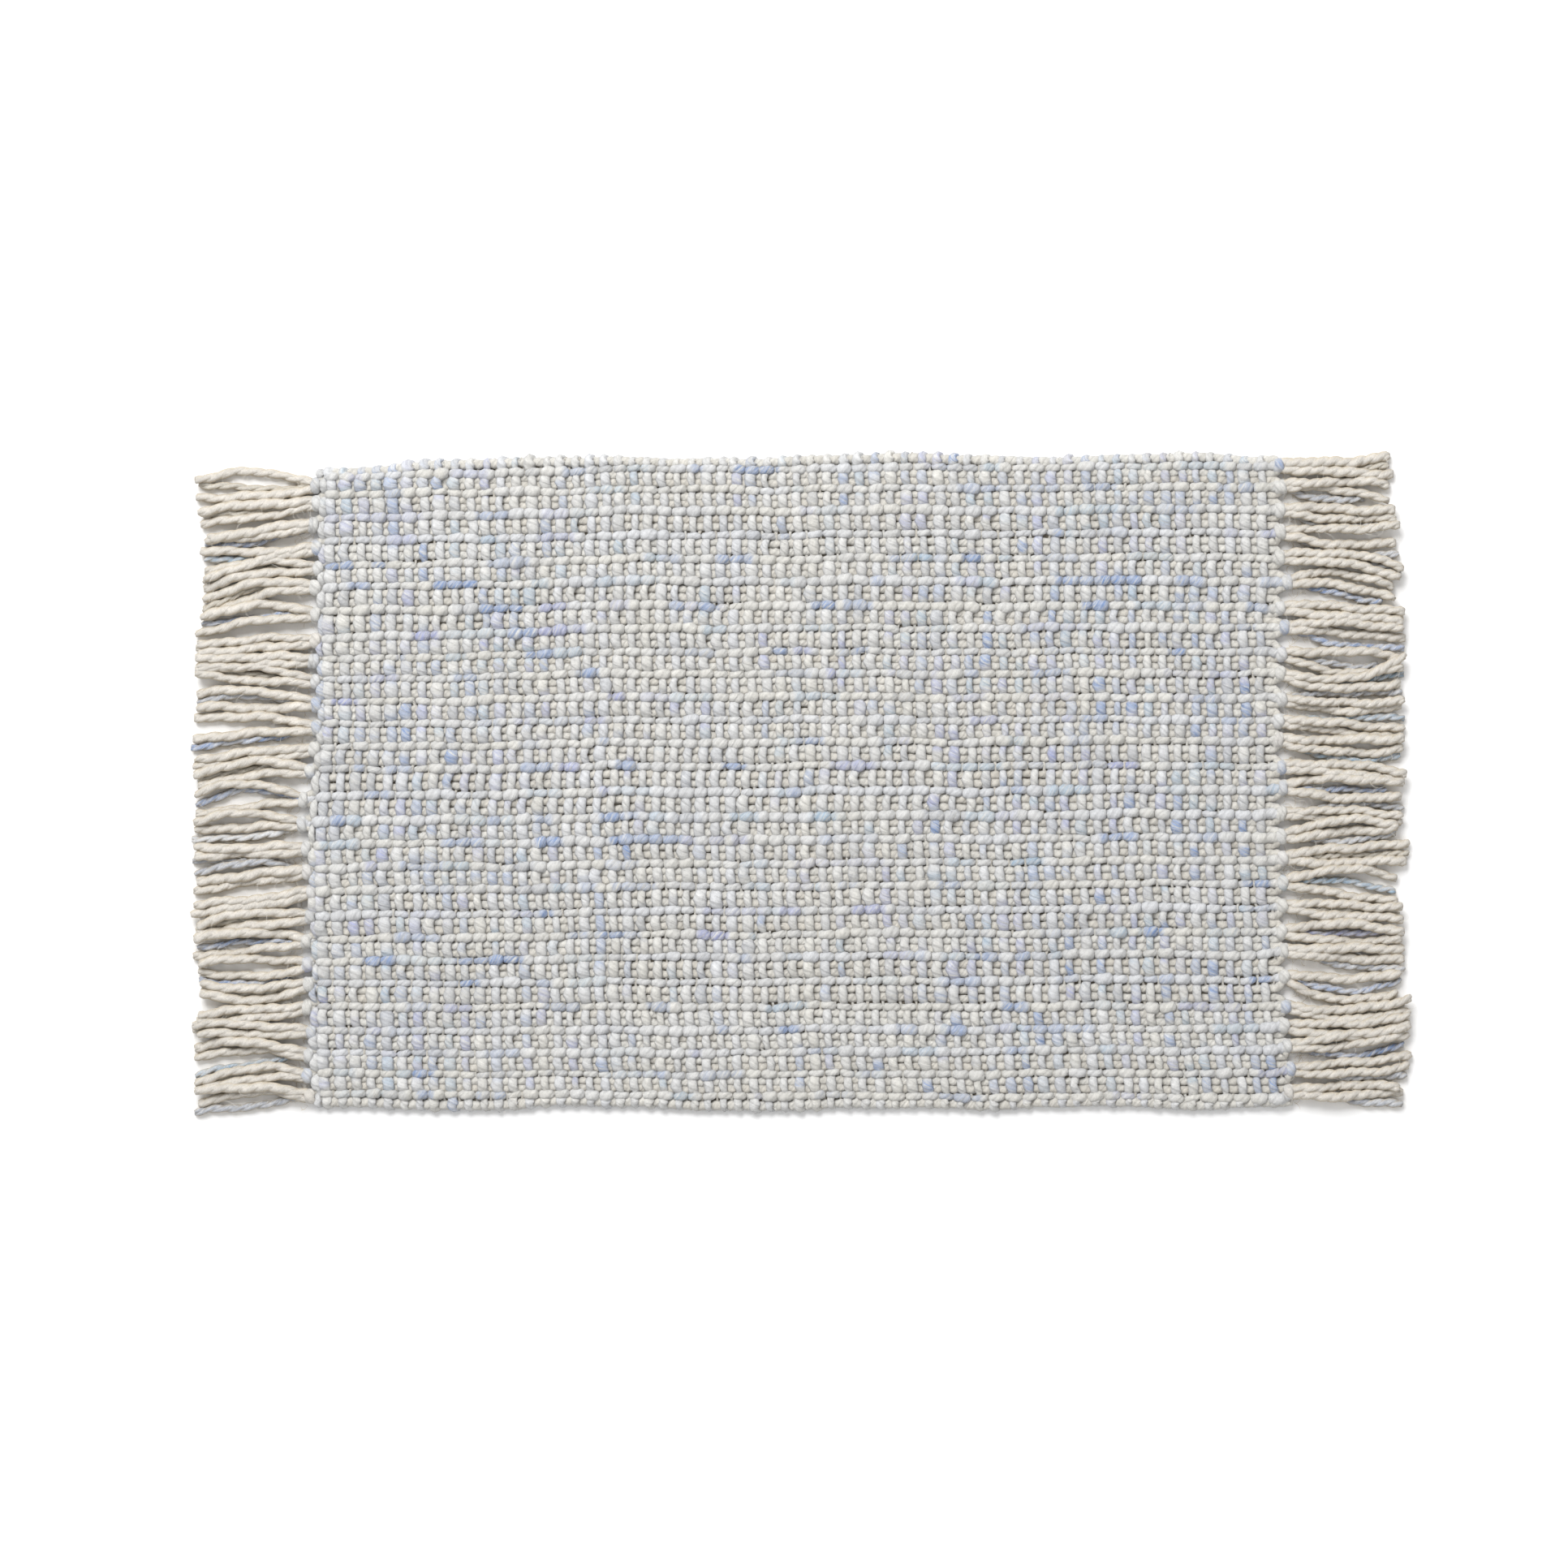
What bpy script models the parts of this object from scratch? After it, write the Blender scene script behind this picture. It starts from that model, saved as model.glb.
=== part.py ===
"""A hand-woven jute doormat with a knotted fringe along each short end.

The mat lies flat on z = 0 with its middle at the origin. +X runs along its length, to the
right, +Y runs across it, and +Z is up. Three solids make it: the woven panel, and at each
end a narrow row of knots with the loose yarn ends that leave it.
"""

from collections import namedtuple

import bmesh
import bpy

MM = 0.001

# Heights of the panel above the floor
THICK_YARN_TOP = 9.6    # crest of a row of thick slub yarn
FINE_PAIR_TOP = 8.4     # crest of the pair of fine yarns between two thick rows
FURROW_TOP = 7.5        # beside each thick row
EDGE_TOP = 4.6          # where the selvedge or the end rounds over
END_ROUNDING = 3.0      # length over which an end rounds over
PANEL_COLUMNS = 14      # lengthwise steps of the panel

# The top's section: the share of the way, and the height there, from a thick row to the next
ROW_SECTION = ((0.0, THICK_YARN_TOP), (0.24, FURROW_TOP), (0.5, FINE_PAIR_TOP), (0.76, FURROW_TOP))
# and from a long edge to the thick row beside it
SELVEDGE_SECTION = ((0.0, EDGE_TOP), (0.32, FINE_PAIR_TOP), (0.62, FURROW_TOP))

# The row of knots
PARTING_GAP = 0.3       # between the panel's end and the row of knots
KNOT_ROW_WIDTH = 11.0
KNOT_TOP = 11.0
KNOT_SHOULDER_TOP = 9.4
KNOT_VALLEY_TOP = 5.0
# Its section from the panel's side to the fringe's, each a share of the width and height
KNOT_ROW_SECTION = ((0.0, 0.0), (0.0, 0.7), (0.3, 1.0), (0.7, 1.0), (1.0, 0.7), (1.0, 0.0))

# The three loose yarn ends at each knot, from +Y to -Y: two coarse ones and a thin core
# between them. offset is from the knot's middle to the end's, and upper_top and lower_top
# are the knot row's height at the end's +Y and -Y side.
End = namedtuple("End", "offset width height upper_top lower_top")
ENDS = (
    End(5.6, 5.4, 6.6, KNOT_VALLEY_TOP, KNOT_SHOULDER_TOP),
    End(0.0, 3.4, 4.6, KNOT_TOP, KNOT_TOP),
    End(-5.6, 5.4, 6.6, KNOT_SHOULDER_TOP, KNOT_VALLEY_TOP),
)
END_TOP_SHARE = 0.56    # width of an end's top over the width of its foot
CLEAR_BETWEEN_ENDS = 0.7
ROOT_LENGTH = 8.0       # the stretch in which an end takes its own section
ROOT_DRIFT = 0.25       # the share of its drift to half-way that an end has made by then
SPILL = 5.9             # how far the outermost ends may lie outside the panel's width
SPREAD_PASSES = 400
NEAR = 0.01             # two lengths that differ by less are the same

# One line for each of the 28 thick rows, from the +Y side to the -Y side, in millimetres.
# y_left, y_middle and y_right are where the row leaves the left end, crosses the middle
# and leaves the right end. The bundle of ends at each side drifts in y by *_bend half-way
# along and by *_lean at its tip, and its tip is *_tip away from the mat's middle in x.
Row = namedtuple("Row", "y_left y_middle y_right l_bend l_lean l_tip r_bend r_lean r_tip")
ROWS = [Row(*line) for line in (
    (218, 230, 234, 1, -1, 445, -2, 0, 434),
    (206, 213, 218, -5, -9, 442, 1, -3, 433),
    (190, 198, 201, -6, -10, 438, -2, -3, 436),
    (174, 181, 185, -6, -10, 441, -2, -1, 439),
    (158, 164, 166, -1, -11, 439, 0, -9, 442),
    (143, 148, 148, -2, -14, 440, 2, -8, 437),
    (125, 130, 129, 1, -8, 444, -2, -6, 444),
    (105, 113, 114, -2, -4, 445, 0, -6, 445),
    (90, 96, 96, 0, -2, 446, -4, -4, 442),
    (75, 80, 80, 6, 8, 446, -7, 2, 443),
    (58, 63, 62, 4, 3, 445, -5, -4, 443),
    (42, 46, 46, 1, -2, 448, -5, -8, 444),
    (25, 29, 31, -4, -8, 446, -4, -4, 442),
    (9, 12, 12, 2, -6, 446, 0, -8, 444),
    (-11, -6, -3, 4, -3, 447, 0, -2, 443),
    (-30, -25, -21, 3, 0, 448, 1, -2, 444),
    (-48, -42, -38, -2, -3, 447, 6, 7, 440),
    (-65, -60, -55, -5, -9, 447, 3, 4, 446),
    (-80, -76, -72, -8, -12, 447, 1, -4, 439),
    (-98, -94, -90, -2, -9, 446, -3, -5, 442),
    (-116, -111, -108, 0, -5, 446, 0, -2, 443),
    (-133, -128, -124, -3, -3, 444, -1, -3, 444),
    (-148, -146, -142, -6, -2, 443, -8, -4, 441),
    (-165, -164, -163, -5, -6, 443, -5, 2, 447),
    (-183, -181, -178, 1, 1, 446, -2, 3, 446),
    (-199, -198, -193, 6, 1, 446, 4, 11, 446),
    (-214, -215, -210, 2, -8, 444, 1, 6, 448),
    (-229, -233, -226, 0, -8, 446, 1, 0, 442),
)]
ROW_X_LEFT = -360.0     # where y_left, y_middle and y_right are measured
ROW_X_MIDDLE = -126.0
ROW_X_RIGHT = 356.0

# The panel's uneven outline, in millimetres: its long edges by x and its ends by y.
Station = namedtuple("Station", "at value")
TOP_EDGE = [Station(*line) for line in (
    (-360, 228), (-297, 233), (-267, 239), (-177, 242), (-88, 238), (-28, 240), (91, 244),
    (151, 241), (211, 240), (300, 244.4), (330, 240), (360, 241),
)]
BOTTOM_EDGE = [Station(*line) for line in (
    (-360, -238), (-297, -240), (-237, -241), (-177, -237), (-118, -238), (-28, -242),
    (91, -238), (150, -240), (211, -236), (300, -239), (360, -235),
)]
LEFT_END = [Station(*line) for line in (
    (-242, -355), (-170, -356), (-100, -358), (-20, -358), (10, -355), (60, -352),
    (160, -352), (245, -350),
)]
RIGHT_END = [Station(*line) for line in (
    (-242, 361), (-200, 358), (-160, 354), (-60, 350), (60, 350), (120, 350), (150, 352),
    (245, 350),
)]

CREAM = (0.72, 0.66, 0.54, 1.0)
PALE_GREY = (0.68, 0.69, 0.68, 1.0)


def between(stations, at):
    """Read a table of stations, sorted by 'at', along straight lines between them."""
    for low, high in zip(stations, stations[1:]):
        if at <= high.at:
            break
    share = min(max((at - low.at) / (high.at - low.at), 0.0), 1.0)
    return low.value + (high.value - low.value) * share


def blend(a, b, share):
    """The value that lies the given share of the way from a to b."""
    return a + (b - a) * share


def row_track(row):
    """The y of a thick row by x."""
    return [Station(ROW_X_LEFT, row.y_left), Station(ROW_X_MIDDLE, row.y_middle),
            Station(ROW_X_RIGHT, row.y_right)]


def new_object(name, bm, colour, collection):
    """Turn a bmesh in millimetres into an object with its own plain material."""
    for vert in bm.verts:
        vert.co *= MM
    bmesh.ops.recalc_face_normals(bm, faces=bm.faces)
    mesh = bpy.data.meshes.new(name)
    bm.to_mesh(mesh)
    bm.free()
    material = bpy.data.materials.new(name)
    material.use_nodes = True
    shader = material.node_tree.nodes["Principled BSDF"]
    shader.inputs["Base Color"].default_value = colour
    shader.inputs["Roughness"].default_value = 0.95
    shader.inputs["Metallic"].default_value = 0.0
    material.diffuse_color = colour
    mesh.materials.append(material)
    obj = bpy.data.objects.new(name, mesh)
    collection.objects.link(obj)
    return obj


def shaped_grid(columns, lines, place):
    """An open grid whose point at column i and line j is at place(i, j)."""
    bm = bmesh.new()
    bmesh.ops.create_grid(bm, x_segments=columns, y_segments=lines, size=1.0)
    for vert in bm.verts:
        i = round((vert.co.x + 1.0) / 2.0 * columns)
        j = round((1.0 - vert.co.y) / 2.0 * lines)
        vert.co = place(i, j)
    return bm


def floor_slab(columns, lines, place):
    """A closed slab that stands on z = 0, whose top is the grid of place(i, j)."""
    bm = shaped_grid(columns, lines, place)
    rim = [edge for edge in bm.edges if edge.is_boundary]
    skirt = bmesh.ops.extrude_edge_only(bm, edges=rim)["geom"]
    for item in skirt:
        if isinstance(item, bmesh.types.BMVert):
            item.co.z = 0.0
    foot = [edge for edge in bm.edges if edge.is_boundary]
    bmesh.ops.holes_fill(bm, edges=foot, sides=0)
    return bm


def panel_lines():
    """The panel's lengthwise lines, each a share of the way between two curves, and its top."""
    tracks = [row_track(row) for row in ROWS]
    lines = [(TOP_EDGE, tracks[0], share, top) for share, top in SELVEDGE_SECTION]
    for track, following in zip(tracks, tracks[1:]):
        lines += [(track, following, share, top) for share, top in ROW_SECTION]
    lines.append((tracks[-1], tracks[-1], 0.0, THICK_YARN_TOP))
    lines += [(BOTTOM_EDGE, tracks[-1], share, top) for share, top in reversed(SELVEDGE_SECTION)]
    return lines


def make_panel(collection):
    """The woven cloth: raised lengthwise rows on a flat underside, with an uneven outline."""
    lines = panel_lines()

    def place(i, j):
        curve, other_curve, share, top = lines[j]

        def line_y(x):
            return blend(between(curve, x), between(other_curve, x), share)

        near_y = line_y(blend(ROW_X_LEFT, ROW_X_RIGHT, i / PANEL_COLUMNS))
        left, right = between(LEFT_END, near_y), between(RIGHT_END, near_y)
        if i == 0:
            return left, line_y(left), min(top, EDGE_TOP)
        if i == PANEL_COLUMNS:
            return right, line_y(right), min(top, EDGE_TOP)
        inner = (i - 1) / (PANEL_COLUMNS - 2)
        x = blend(left + END_ROUNDING, right - END_ROUNDING, inner)
        return x, line_y(x), top

    bm = floor_slab(PANEL_COLUMNS, len(lines) - 1, place)
    return new_object("woven_panel", bm, CREAM, collection)


def spread(centres, low, high):
    """Move yarn ends apart, in order from high y to low y, until none touch."""
    placed = list(centres)
    widths = [ENDS[k % len(ENDS)].width for k in range(len(placed))]
    for _ in range(SPREAD_PASSES):
        placed[0] = min(placed[0], high - widths[0] / 2)
        placed[-1] = max(placed[-1], low + widths[-1] / 2)
        for k in range(len(placed) - 1):
            need = (widths[k] + widths[k + 1]) / 2 + CLEAR_BETWEEN_ENDS
            short = need - (placed[k] - placed[k + 1])
            if short > 0:
                placed[k] += short / 2
                placed[k + 1] -= short / 2
    return placed


def make_knot_row(side, end_table, roots, low, high):
    """The row of knots, with a line at both sides of each root and one at each outer edge."""
    lines = [(high, KNOT_VALLEY_TOP)]
    for k, centre in enumerate(roots):
        end = ENDS[k % len(ENDS)]
        lines.append((centre + end.width / 2, end.upper_top))
        lines.append((centre - end.width / 2, end.lower_top))
    lines.append((low, KNOT_VALLEY_TOP))

    def place(i, j):
        y, top = lines[j]
        share, height_share = KNOT_ROW_SECTION[i]
        away = PARTING_GAP + KNOT_ROW_WIDTH * share
        return between(end_table, y) + side * away, y, top * height_share

    bm = shaped_grid(len(KNOT_ROW_SECTION) - 1, len(lines) - 1, place)
    feet = [edge for edge in bm.edges
            if edge.is_boundary and all(vert.co.z == 0.0 for vert in edge.verts)]
    bmesh.ops.bridge_loops(bm, edges=feet)
    bmesh.ops.holes_fill(bm, edges=[edge for edge in bm.edges if edge.is_boundary], sides=0)
    return bm


def root_faces(bm, side, end_table, roots):
    """The faces of the knot row's outer wall that the yarn ends leave, by the end's number."""
    found = {}
    for face in bm.faces:
        middle = face.calc_center_median()
        k = min(range(len(roots)), key=lambda n: abs(roots[n] - middle.y))
        wall_x = between(end_table, middle.y) + side * (PARTING_GAP + KNOT_ROW_WIDTH)
        on_wall = abs(middle.x - wall_x) < CLEAR_BETWEEN_ENDS
        if on_wall and abs(roots[k] - middle.y) < NEAR:
            found[k] = face
    return found


def draw_out(bm, face, end, stations):
    """Extrude a root face into a yarn end that lies on the floor through the stations."""
    for x, y in stations:
        face = bmesh.ops.extrude_discrete_faces(bm, faces=[face])["faces"][0]
        middle_y = face.calc_center_median().y
        for vert in face.verts:
            at_foot = vert.co.z < NEAR
            half = end.width / 2 * (1.0 if at_foot else END_TOP_SHARE)
            vert.co.x = x
            vert.co.y = y + half if vert.co.y > middle_y else y - half
            vert.co.z = 0.0 if at_foot else end.height


def make_fringe(name, side, collection):
    """A row of knots parted from the panel's end, with three loose yarn ends at each knot."""
    at_left = side < 0
    end_table = LEFT_END if at_left else RIGHT_END
    edge_x = ROW_X_LEFT if at_left else ROW_X_RIGHT
    high, low = between(TOP_EDGE, edge_x), between(BOTTOM_EDGE, edge_x)
    knots = [row.y_left if at_left else row.y_right for row in ROWS]
    bends = [row.l_bend if at_left else row.r_bend for row in ROWS]
    leans = [row.l_lean if at_left else row.r_lean for row in ROWS]
    tips = [row.l_tip if at_left else row.r_tip for row in ROWS]

    def ends_at(drifts, margin):
        wished = [knot + drift + end.offset for knot, drift in zip(knots, drifts) for end in ENDS]
        return spread(wished, low - margin, high + margin)

    roots = ends_at([0.0] * len(knots), -CLEAR_BETWEEN_ENDS)
    halfway, final = ends_at(bends, SPILL), ends_at(leans, SPILL)
    bm = make_knot_row(side, end_table, roots, low, high)
    for k, face in root_faces(bm, side, end_table, roots).items():
        start = face.calc_center_median().x
        tip = side * tips[k // len(ENDS)]
        stations = ((start + side * ROOT_LENGTH, blend(roots[k], halfway[k], ROOT_DRIFT)),
                    (blend(start, tip, 0.5), halfway[k]),
                    (tip, final[k]))
        draw_out(bm, face, ENDS[k % len(ENDS)], stations)
    return new_object(name, bm, PALE_GREY, collection)


def main():
    """Clear the scene and build the mat."""
    for obj in list(bpy.data.objects):
        bpy.data.objects.remove(obj, do_unlink=True)
    collection = bpy.data.collections.new("jute_doormat")
    bpy.context.scene.collection.children.link(collection)
    make_panel(collection)
    make_fringe("fringe_left", -1, collection)
    make_fringe("fringe_right", 1, collection)


main()
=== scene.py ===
"""The looks of a hand-woven jute doormat that lies face up on a pale floor.

+X runs along the mat, +Y across it and +Z up. Every yarn is a tube of its own. 28 thick slub
yarns and 28 pairs of finer two-ply yarns run along the mat. Wide and narrow picks in turn
cross them in plain weave and turn back at the selvedges. At each end every slub yarn is
wrapped round the two fine yarns beside it, and three loose yarn ends leave each such knot.
Lengths are in millimetres until a mesh is made.
"""

from collections import namedtuple

import bmesh
import bpy
import numpy as np
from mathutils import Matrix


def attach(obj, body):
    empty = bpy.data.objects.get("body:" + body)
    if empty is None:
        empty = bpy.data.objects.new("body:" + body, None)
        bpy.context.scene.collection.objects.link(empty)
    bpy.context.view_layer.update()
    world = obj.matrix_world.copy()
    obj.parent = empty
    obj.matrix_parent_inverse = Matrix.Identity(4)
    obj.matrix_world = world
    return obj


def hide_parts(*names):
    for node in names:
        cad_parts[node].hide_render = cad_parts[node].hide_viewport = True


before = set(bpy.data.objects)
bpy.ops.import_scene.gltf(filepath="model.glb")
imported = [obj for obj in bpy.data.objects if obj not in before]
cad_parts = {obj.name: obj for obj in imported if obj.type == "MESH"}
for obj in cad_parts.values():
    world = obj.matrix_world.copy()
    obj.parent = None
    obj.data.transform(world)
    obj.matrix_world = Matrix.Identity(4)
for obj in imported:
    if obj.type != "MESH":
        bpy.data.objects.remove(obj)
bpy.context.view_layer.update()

MM = 0.001
ALONG = np.array((1.0, 0.0, 0.0))
UP = np.array((0.0, 0.0, 1.0))
TURN = 2.0 * np.pi
SEED = 7

# Where each thick row leaves the left end, crosses the middle and leaves the right end, in y
Row = namedtuple("Row", "y_left y_middle y_right")
ROWS = [Row(*line) for line in (
    (224.4, 230.9, 233.9), (212.4, 215.9, 218.4), (193.9, 200.4, 201.9), (177.9, 182.4, 184.9),
    (158.9, 164.9, 166.9), (143.9, 148.9, 148.9), (125.9, 130.9, 129.9), (105.9, 113.9, 114.9),
    (90.9, 96.9, 96.9), (75.9, 80.9, 80.9), (58.9, 63.9, 62.9), (42.9, 46.9, 46.9),
    (25.9, 29.9, 31.9), (9.9, 12.9, 12.9), (-10.1, -6.1, -4.1), (-28.1, -25.1, -22.1),
    (-45.6, -41.6, -39.1), (-62.6, -59.6, -56.1), (-79.1, -76.1, -73.1), (-97.1, -94.4, -91.1),
    (-115.1, -111.1, -109.1), (-132.1, -128.1, -125.1), (-147.1, -146.1, -143.6),
    (-164.1, -164.1, -164.1), (-182.1, -181.6, -179.6), (-198.1, -198.1, -195.6),
    (-213.1, -214.1, -212.6), (-228.1, -229.1, -231.1),
)]
ROW_X_LEFT = -360.0
ROW_X_MIDDLE = -126.0
ROW_X_RIGHT = 356.0
ROW_COUNT = len(ROWS)

# The weave's uneven outline: its long edges by x and its ends by y
Station = namedtuple("Station", "at value")
TOP_EDGE = [Station(*line) for line in (
    (-360, 228), (-297, 233), (-267, 239), (-177, 242), (-88, 238), (-28, 240), (91, 244),
    (151, 241), (211, 240), (300, 244.4), (330, 240), (360, 241),
)]
BOTTOM_EDGE = [Station(*line) for line in (
    (-360, -238), (-297, -240), (-237, -241), (-177, -237), (-118, -238), (-28, -242),
    (91, -238), (150, -240), (211, -236), (300, -239), (360, -235),
)]
LEFT_END = [Station(*line) for line in (
    (-242, -355), (-170, -356), (-100, -358), (-20, -358), (10, -355), (60, -352),
    (160, -352), (245, -350),
)]
RIGHT_END = [Station(*line) for line in (
    (-242, 361), (-200, 358), (-160, 354), (-60, 350), (60, 350), (120, 350), (150, 352),
    (245, 350),
)]
RIGHT_MARGIN = 5.0      # from the last narrow pick to the right end

# Picks are counted from the left end: wide ones lie at 0.5, 1.5 and so on, narrow ones at
# 1, 2 and so on. Their spacing changes slowly along the mat.
PICKS = 61
PICK_SPACING = [Station(*line) for line in (
    (0, 11.6), (12, 11.2), (19, 10.5), (31, 11.3), (43, 12.1), (55, 11.5), (61, 12.6),
)]

# Each yarn's way through the weave, up from its lowest place to where it lies on top. offset
# is in periods from there, height is that of its middle, and the halves are its section's.
Wave = namedtuple("Wave", "offset height half_width half_height")


def both_ways(rising):
    """A whole period of a yarn's way, which goes down as it came up."""
    waves = [Wave(*line) for line in rising]
    return waves + [wave._replace(offset=-wave.offset) for wave in waves[-2:0:-1]]


SLUB_WAVE = both_ways((
    (-0.50, 3.2, 2.6, 2.0), (-0.39, 5.3, 2.95, 2.3), (-0.27, 6.5, 3.35, 2.6),
    (-0.12, 7.0, 3.5, 2.7), (0.00, 7.1, 3.55, 2.7),
))
FINE_WAVE = both_ways((
    (-0.50, 2.3, 2.8, 1.9), (-0.23, 4.3, 3.1, 2.2), (0.00, 5.0, 3.15, 2.4),
))
WIDE_WAVE = both_ways((
    (-0.50, 2.1, 2.8, 1.8), (-0.36, 5.0, 2.8, 2.1), (-0.21, 7.0, 3.3, 2.5), (0.00, 7.6, 3.6, 2.8),
))
NARROW_WAVE = both_ways((
    (-0.50, 2.2, 1.6, 1.2), (-0.25, 3.7, 1.3, 1.2), (0.00, 5.8, 1.1, 1.0),
))
# Places where a thick row swells, with how much wider it is there
ThickPlace = namedtuple("ThickPlace", "row start end swell")
THICK_PLACES = [ThickPlace(*line) for line in (
    (5, -226, -208, 0.22), (8, -262, -172, 0.12), (13, -92, -78, 0.20), (20, 166, 182, 0.22),
    (20, 246, 264, 0.22),
)]
# A pick's turn round the outermost fine yarn, from under the mat. lane is from the edge.
Turn = namedtuple("Turn", "lane height half_width half_height drift")
WIDE_TURN = [Turn(*line) for line in (
    (0.24, 1.9, 2.2, 1.5, 0.28), (0.15, 2.2, 2.6, 1.6, 0.24), (0.11, 3.2, 3.0, 1.8, 0.18),
    (0.10, 4.5, 3.2, 1.9, 0.10), (0.13, 5.9, 3.4, 2.1, 0.03), (0.18, 6.7, 3.5, 2.2, 0.0),
    (0.25, 6.8, 3.4, 2.2, 0.0), (0.34, 5.9, 3.1, 2.0, 0.0),
)]
NARROW_TURN = [Turn(*line) for line in (
    (0.16, 5.6, 1.3, 1.2, -0.22), (0.085, 4.0, 1.6, 1.4, -0.12), (0.12, 2.3, 1.6, 1.3, -0.03),
    (0.25, 2.0, 1.5, 1.2, 0.0),
)]
# How the cloth is pulled out of line, by a slow wave that bends and a fast one that leans
Pull = namedtuple("Pull", "slow slow_length bend_length fast fast_length lean_length")
X_PULL = Pull(0.7, 23.0, 61.0, 0.4, 8.7, 37.0)
Y_PULL = Pull(0.5, 29.0, 43.0, 0.4, 11.3, 31.0)
PULL_BEND = 0.9

PAIR_OFFSET = 0.165     # of a fine yarn from the middle of its pair, in lanes
EDGE_YARN_LANE = 0.2    # of the outermost fine yarns from the edge
END_SWELL = 0.24        # how much wider the picks nearest the left end are
END_SWELL_PICKS = 16.0
TIE_SWELL = 1.2         # of the yarns between the panel and their knots
SLUB_ENTRY = (3.3, 2.6)     # a yarn's section where it enters its knot
FINE_ENTRY = (2.6, 2.4)

# How uneven the yarns are. A step is in picks, and a size is a share of the yarn's own.
SLUB_FLOATS = 0.13      # random size of each float
FINE_FLOATS = 0.06
WIDE_FLOATS = 0.15
NARROW_FLOATS = 0.12
Change = namedtuple("Change", "step size")
SLUB_CHANGES = (Change(2.5, 0.10), Change(9.0, 0.07))
SLUB_DIFFERENCE = 0.05  # from one yarn to the next
PICK_DIFFERENCE = 0.06
SLUB_LIMITS = (0.74, 1.3)
PICK_LIMITS = (0.75, 1.3)
SLUB_LIFT = 2.0         # how much higher a thicker float lies
SLUB_SWAY_X = Change(1.0, 0.45)
SLUB_SWAY_Y = Change(1.0, 0.5)
FINE_SWAY = Change(1.5, 0.25)
SLUB_ROLL = 0.15        # to one side on each float, as the twist makes it do
PICK_ROLL = 0.25
WIDE_LEAD = -1.1        # how far the floats of the picks lie before their places
NARROW_LEAD = 0.0
PICK_SHIFT = 0.9        # random shift of each float of a pick
EDGE_YARN_SIZE = 1.12
FIRST_PICK_SIZE = 0.85

SLUB_SIDES = 8
FINE_SIDES = 7
WIDE_SIDES = 8
NARROW_SIDES = 6
SLUB_PITCH = 15.0       # in which a yarn's twist goes round once
FINE_PITCH = 13.0
PICK_PITCH = 12.5
SLUB_LOBES = 0.09       # how far the plies stand out, as a share of the yarn's half width
FINE_LOBES = 0.10
PICK_LOBES = 0.09
LOWEST = 0.04           # below which no yarn reaches, as it lies on the floor
RING_LEAN = 0.35        # how far a ring of points leans with its yarn's steepness

# The knots and the loose yarn ends. x and y are a knot's middle, and tip is how far its ends
# reach from the mat's middle. An end's *_mid and *_tip are its offsets in y from the knot
# half-way along and at its tip. core_part is the core's length as a share of the others', left
# out where it is 1.
Knot = namedtuple("Knot", "x y hue tip upper_mid upper_tip core_hue core_mid core_tip "
                          "lower_mid lower_tip core_part", defaults=(1.0,))
LEFT_KNOTS = [Knot(*line) for line in (
    (-358, 219, "grey", 445, 10, 4, "cream", -2, 2, -8, -8),
    (-357, 206, "white", 442, -1, -6, "cream", -5, -10, -10, -15),
    (-359, 190, "grey", 438, -4, -10, "blue", -12, -14, -8, -12),
    (-357, 173, "blue", 441, -3, -1, "sky", -6, -9, -9, -17),
    (-356, 158, "white", 439, 4, -8, "cream", 0, -10, -4, -14),
    (-358, 144, "white", 440, 3, -9, "cream", -1, -16, -6, -23),
    (-358, 124, "white", 444, 7, -2, "blue", -2, -8, -5, -14),
    (-358, 105, "cream", 445, 1, -3, "cream", -3, -5, -6, -8),
    (-359, 90, "blue", 446, 3, 1, "cream", 0, -2, -3, -6),
    (-358, 75, "white", 446, 10, 11, "cream", 5, 8, 1, 5),
    (-357, 58, "blue", 445, 10, 8, "grey", 6, 3, -2, -2),
    (-357, 41, "blue", 448, 8, 7, "blue", -9, -14, -4, -8),
    (-359, 25, "white", 446, -2, -7, "cream", -4, -8, -8, -12),
    (-362, 9, "blue", 446, 7, -3, "cream", 2, -7, -3, -11),
    (-367, -12, "white", 447, 12, 4, "blue", 7, -4, -5, -11),
    (-368, -30, "blue", 448, 8, 2, "white", -10, -10, -2, -4),
    (-365, -48, "white", 447, 1, 0, "grey", -8, -9, -4, -5),
    (-364, -65, "cream", 447, -2, -7, "grey", 7, -2, -8, -14),
    (-361, -80, "cream", 447, -5, -9, "cream", -7, -12, -10, -15),
    (-362, -98, "grey", 446, 3, -6, "cream", -2, -9, -7, -12),
    (-365, -116, "white", 446, 7, 1, "blue", -1, -4, -7, -11),
    (-364, -133, "lavender", 444, 4, 1, "blue", -15, -10, -9, -4),
    (-363, -148, "white", 443, -2, 0, "cream", -6, -3, -11, -6),
    (-364, -165, "white", 443, -1, -4, "cream", -5, -7, -8, -10),
    (-361, -183, "blue", 446, 6, 6, "cream", 3, 2, -1, -1),
    (-363, -200, "white", 446, 10, 6, "sky", -6, -15, 4, -2),
    (-364, -215, "blue", 444, 6, -6, "cream", 2, -9, -2, -12),
    (-362, -230, "cream", 446, 7, 5, "grey", -7, -12, 3, -6),
)]
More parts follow.
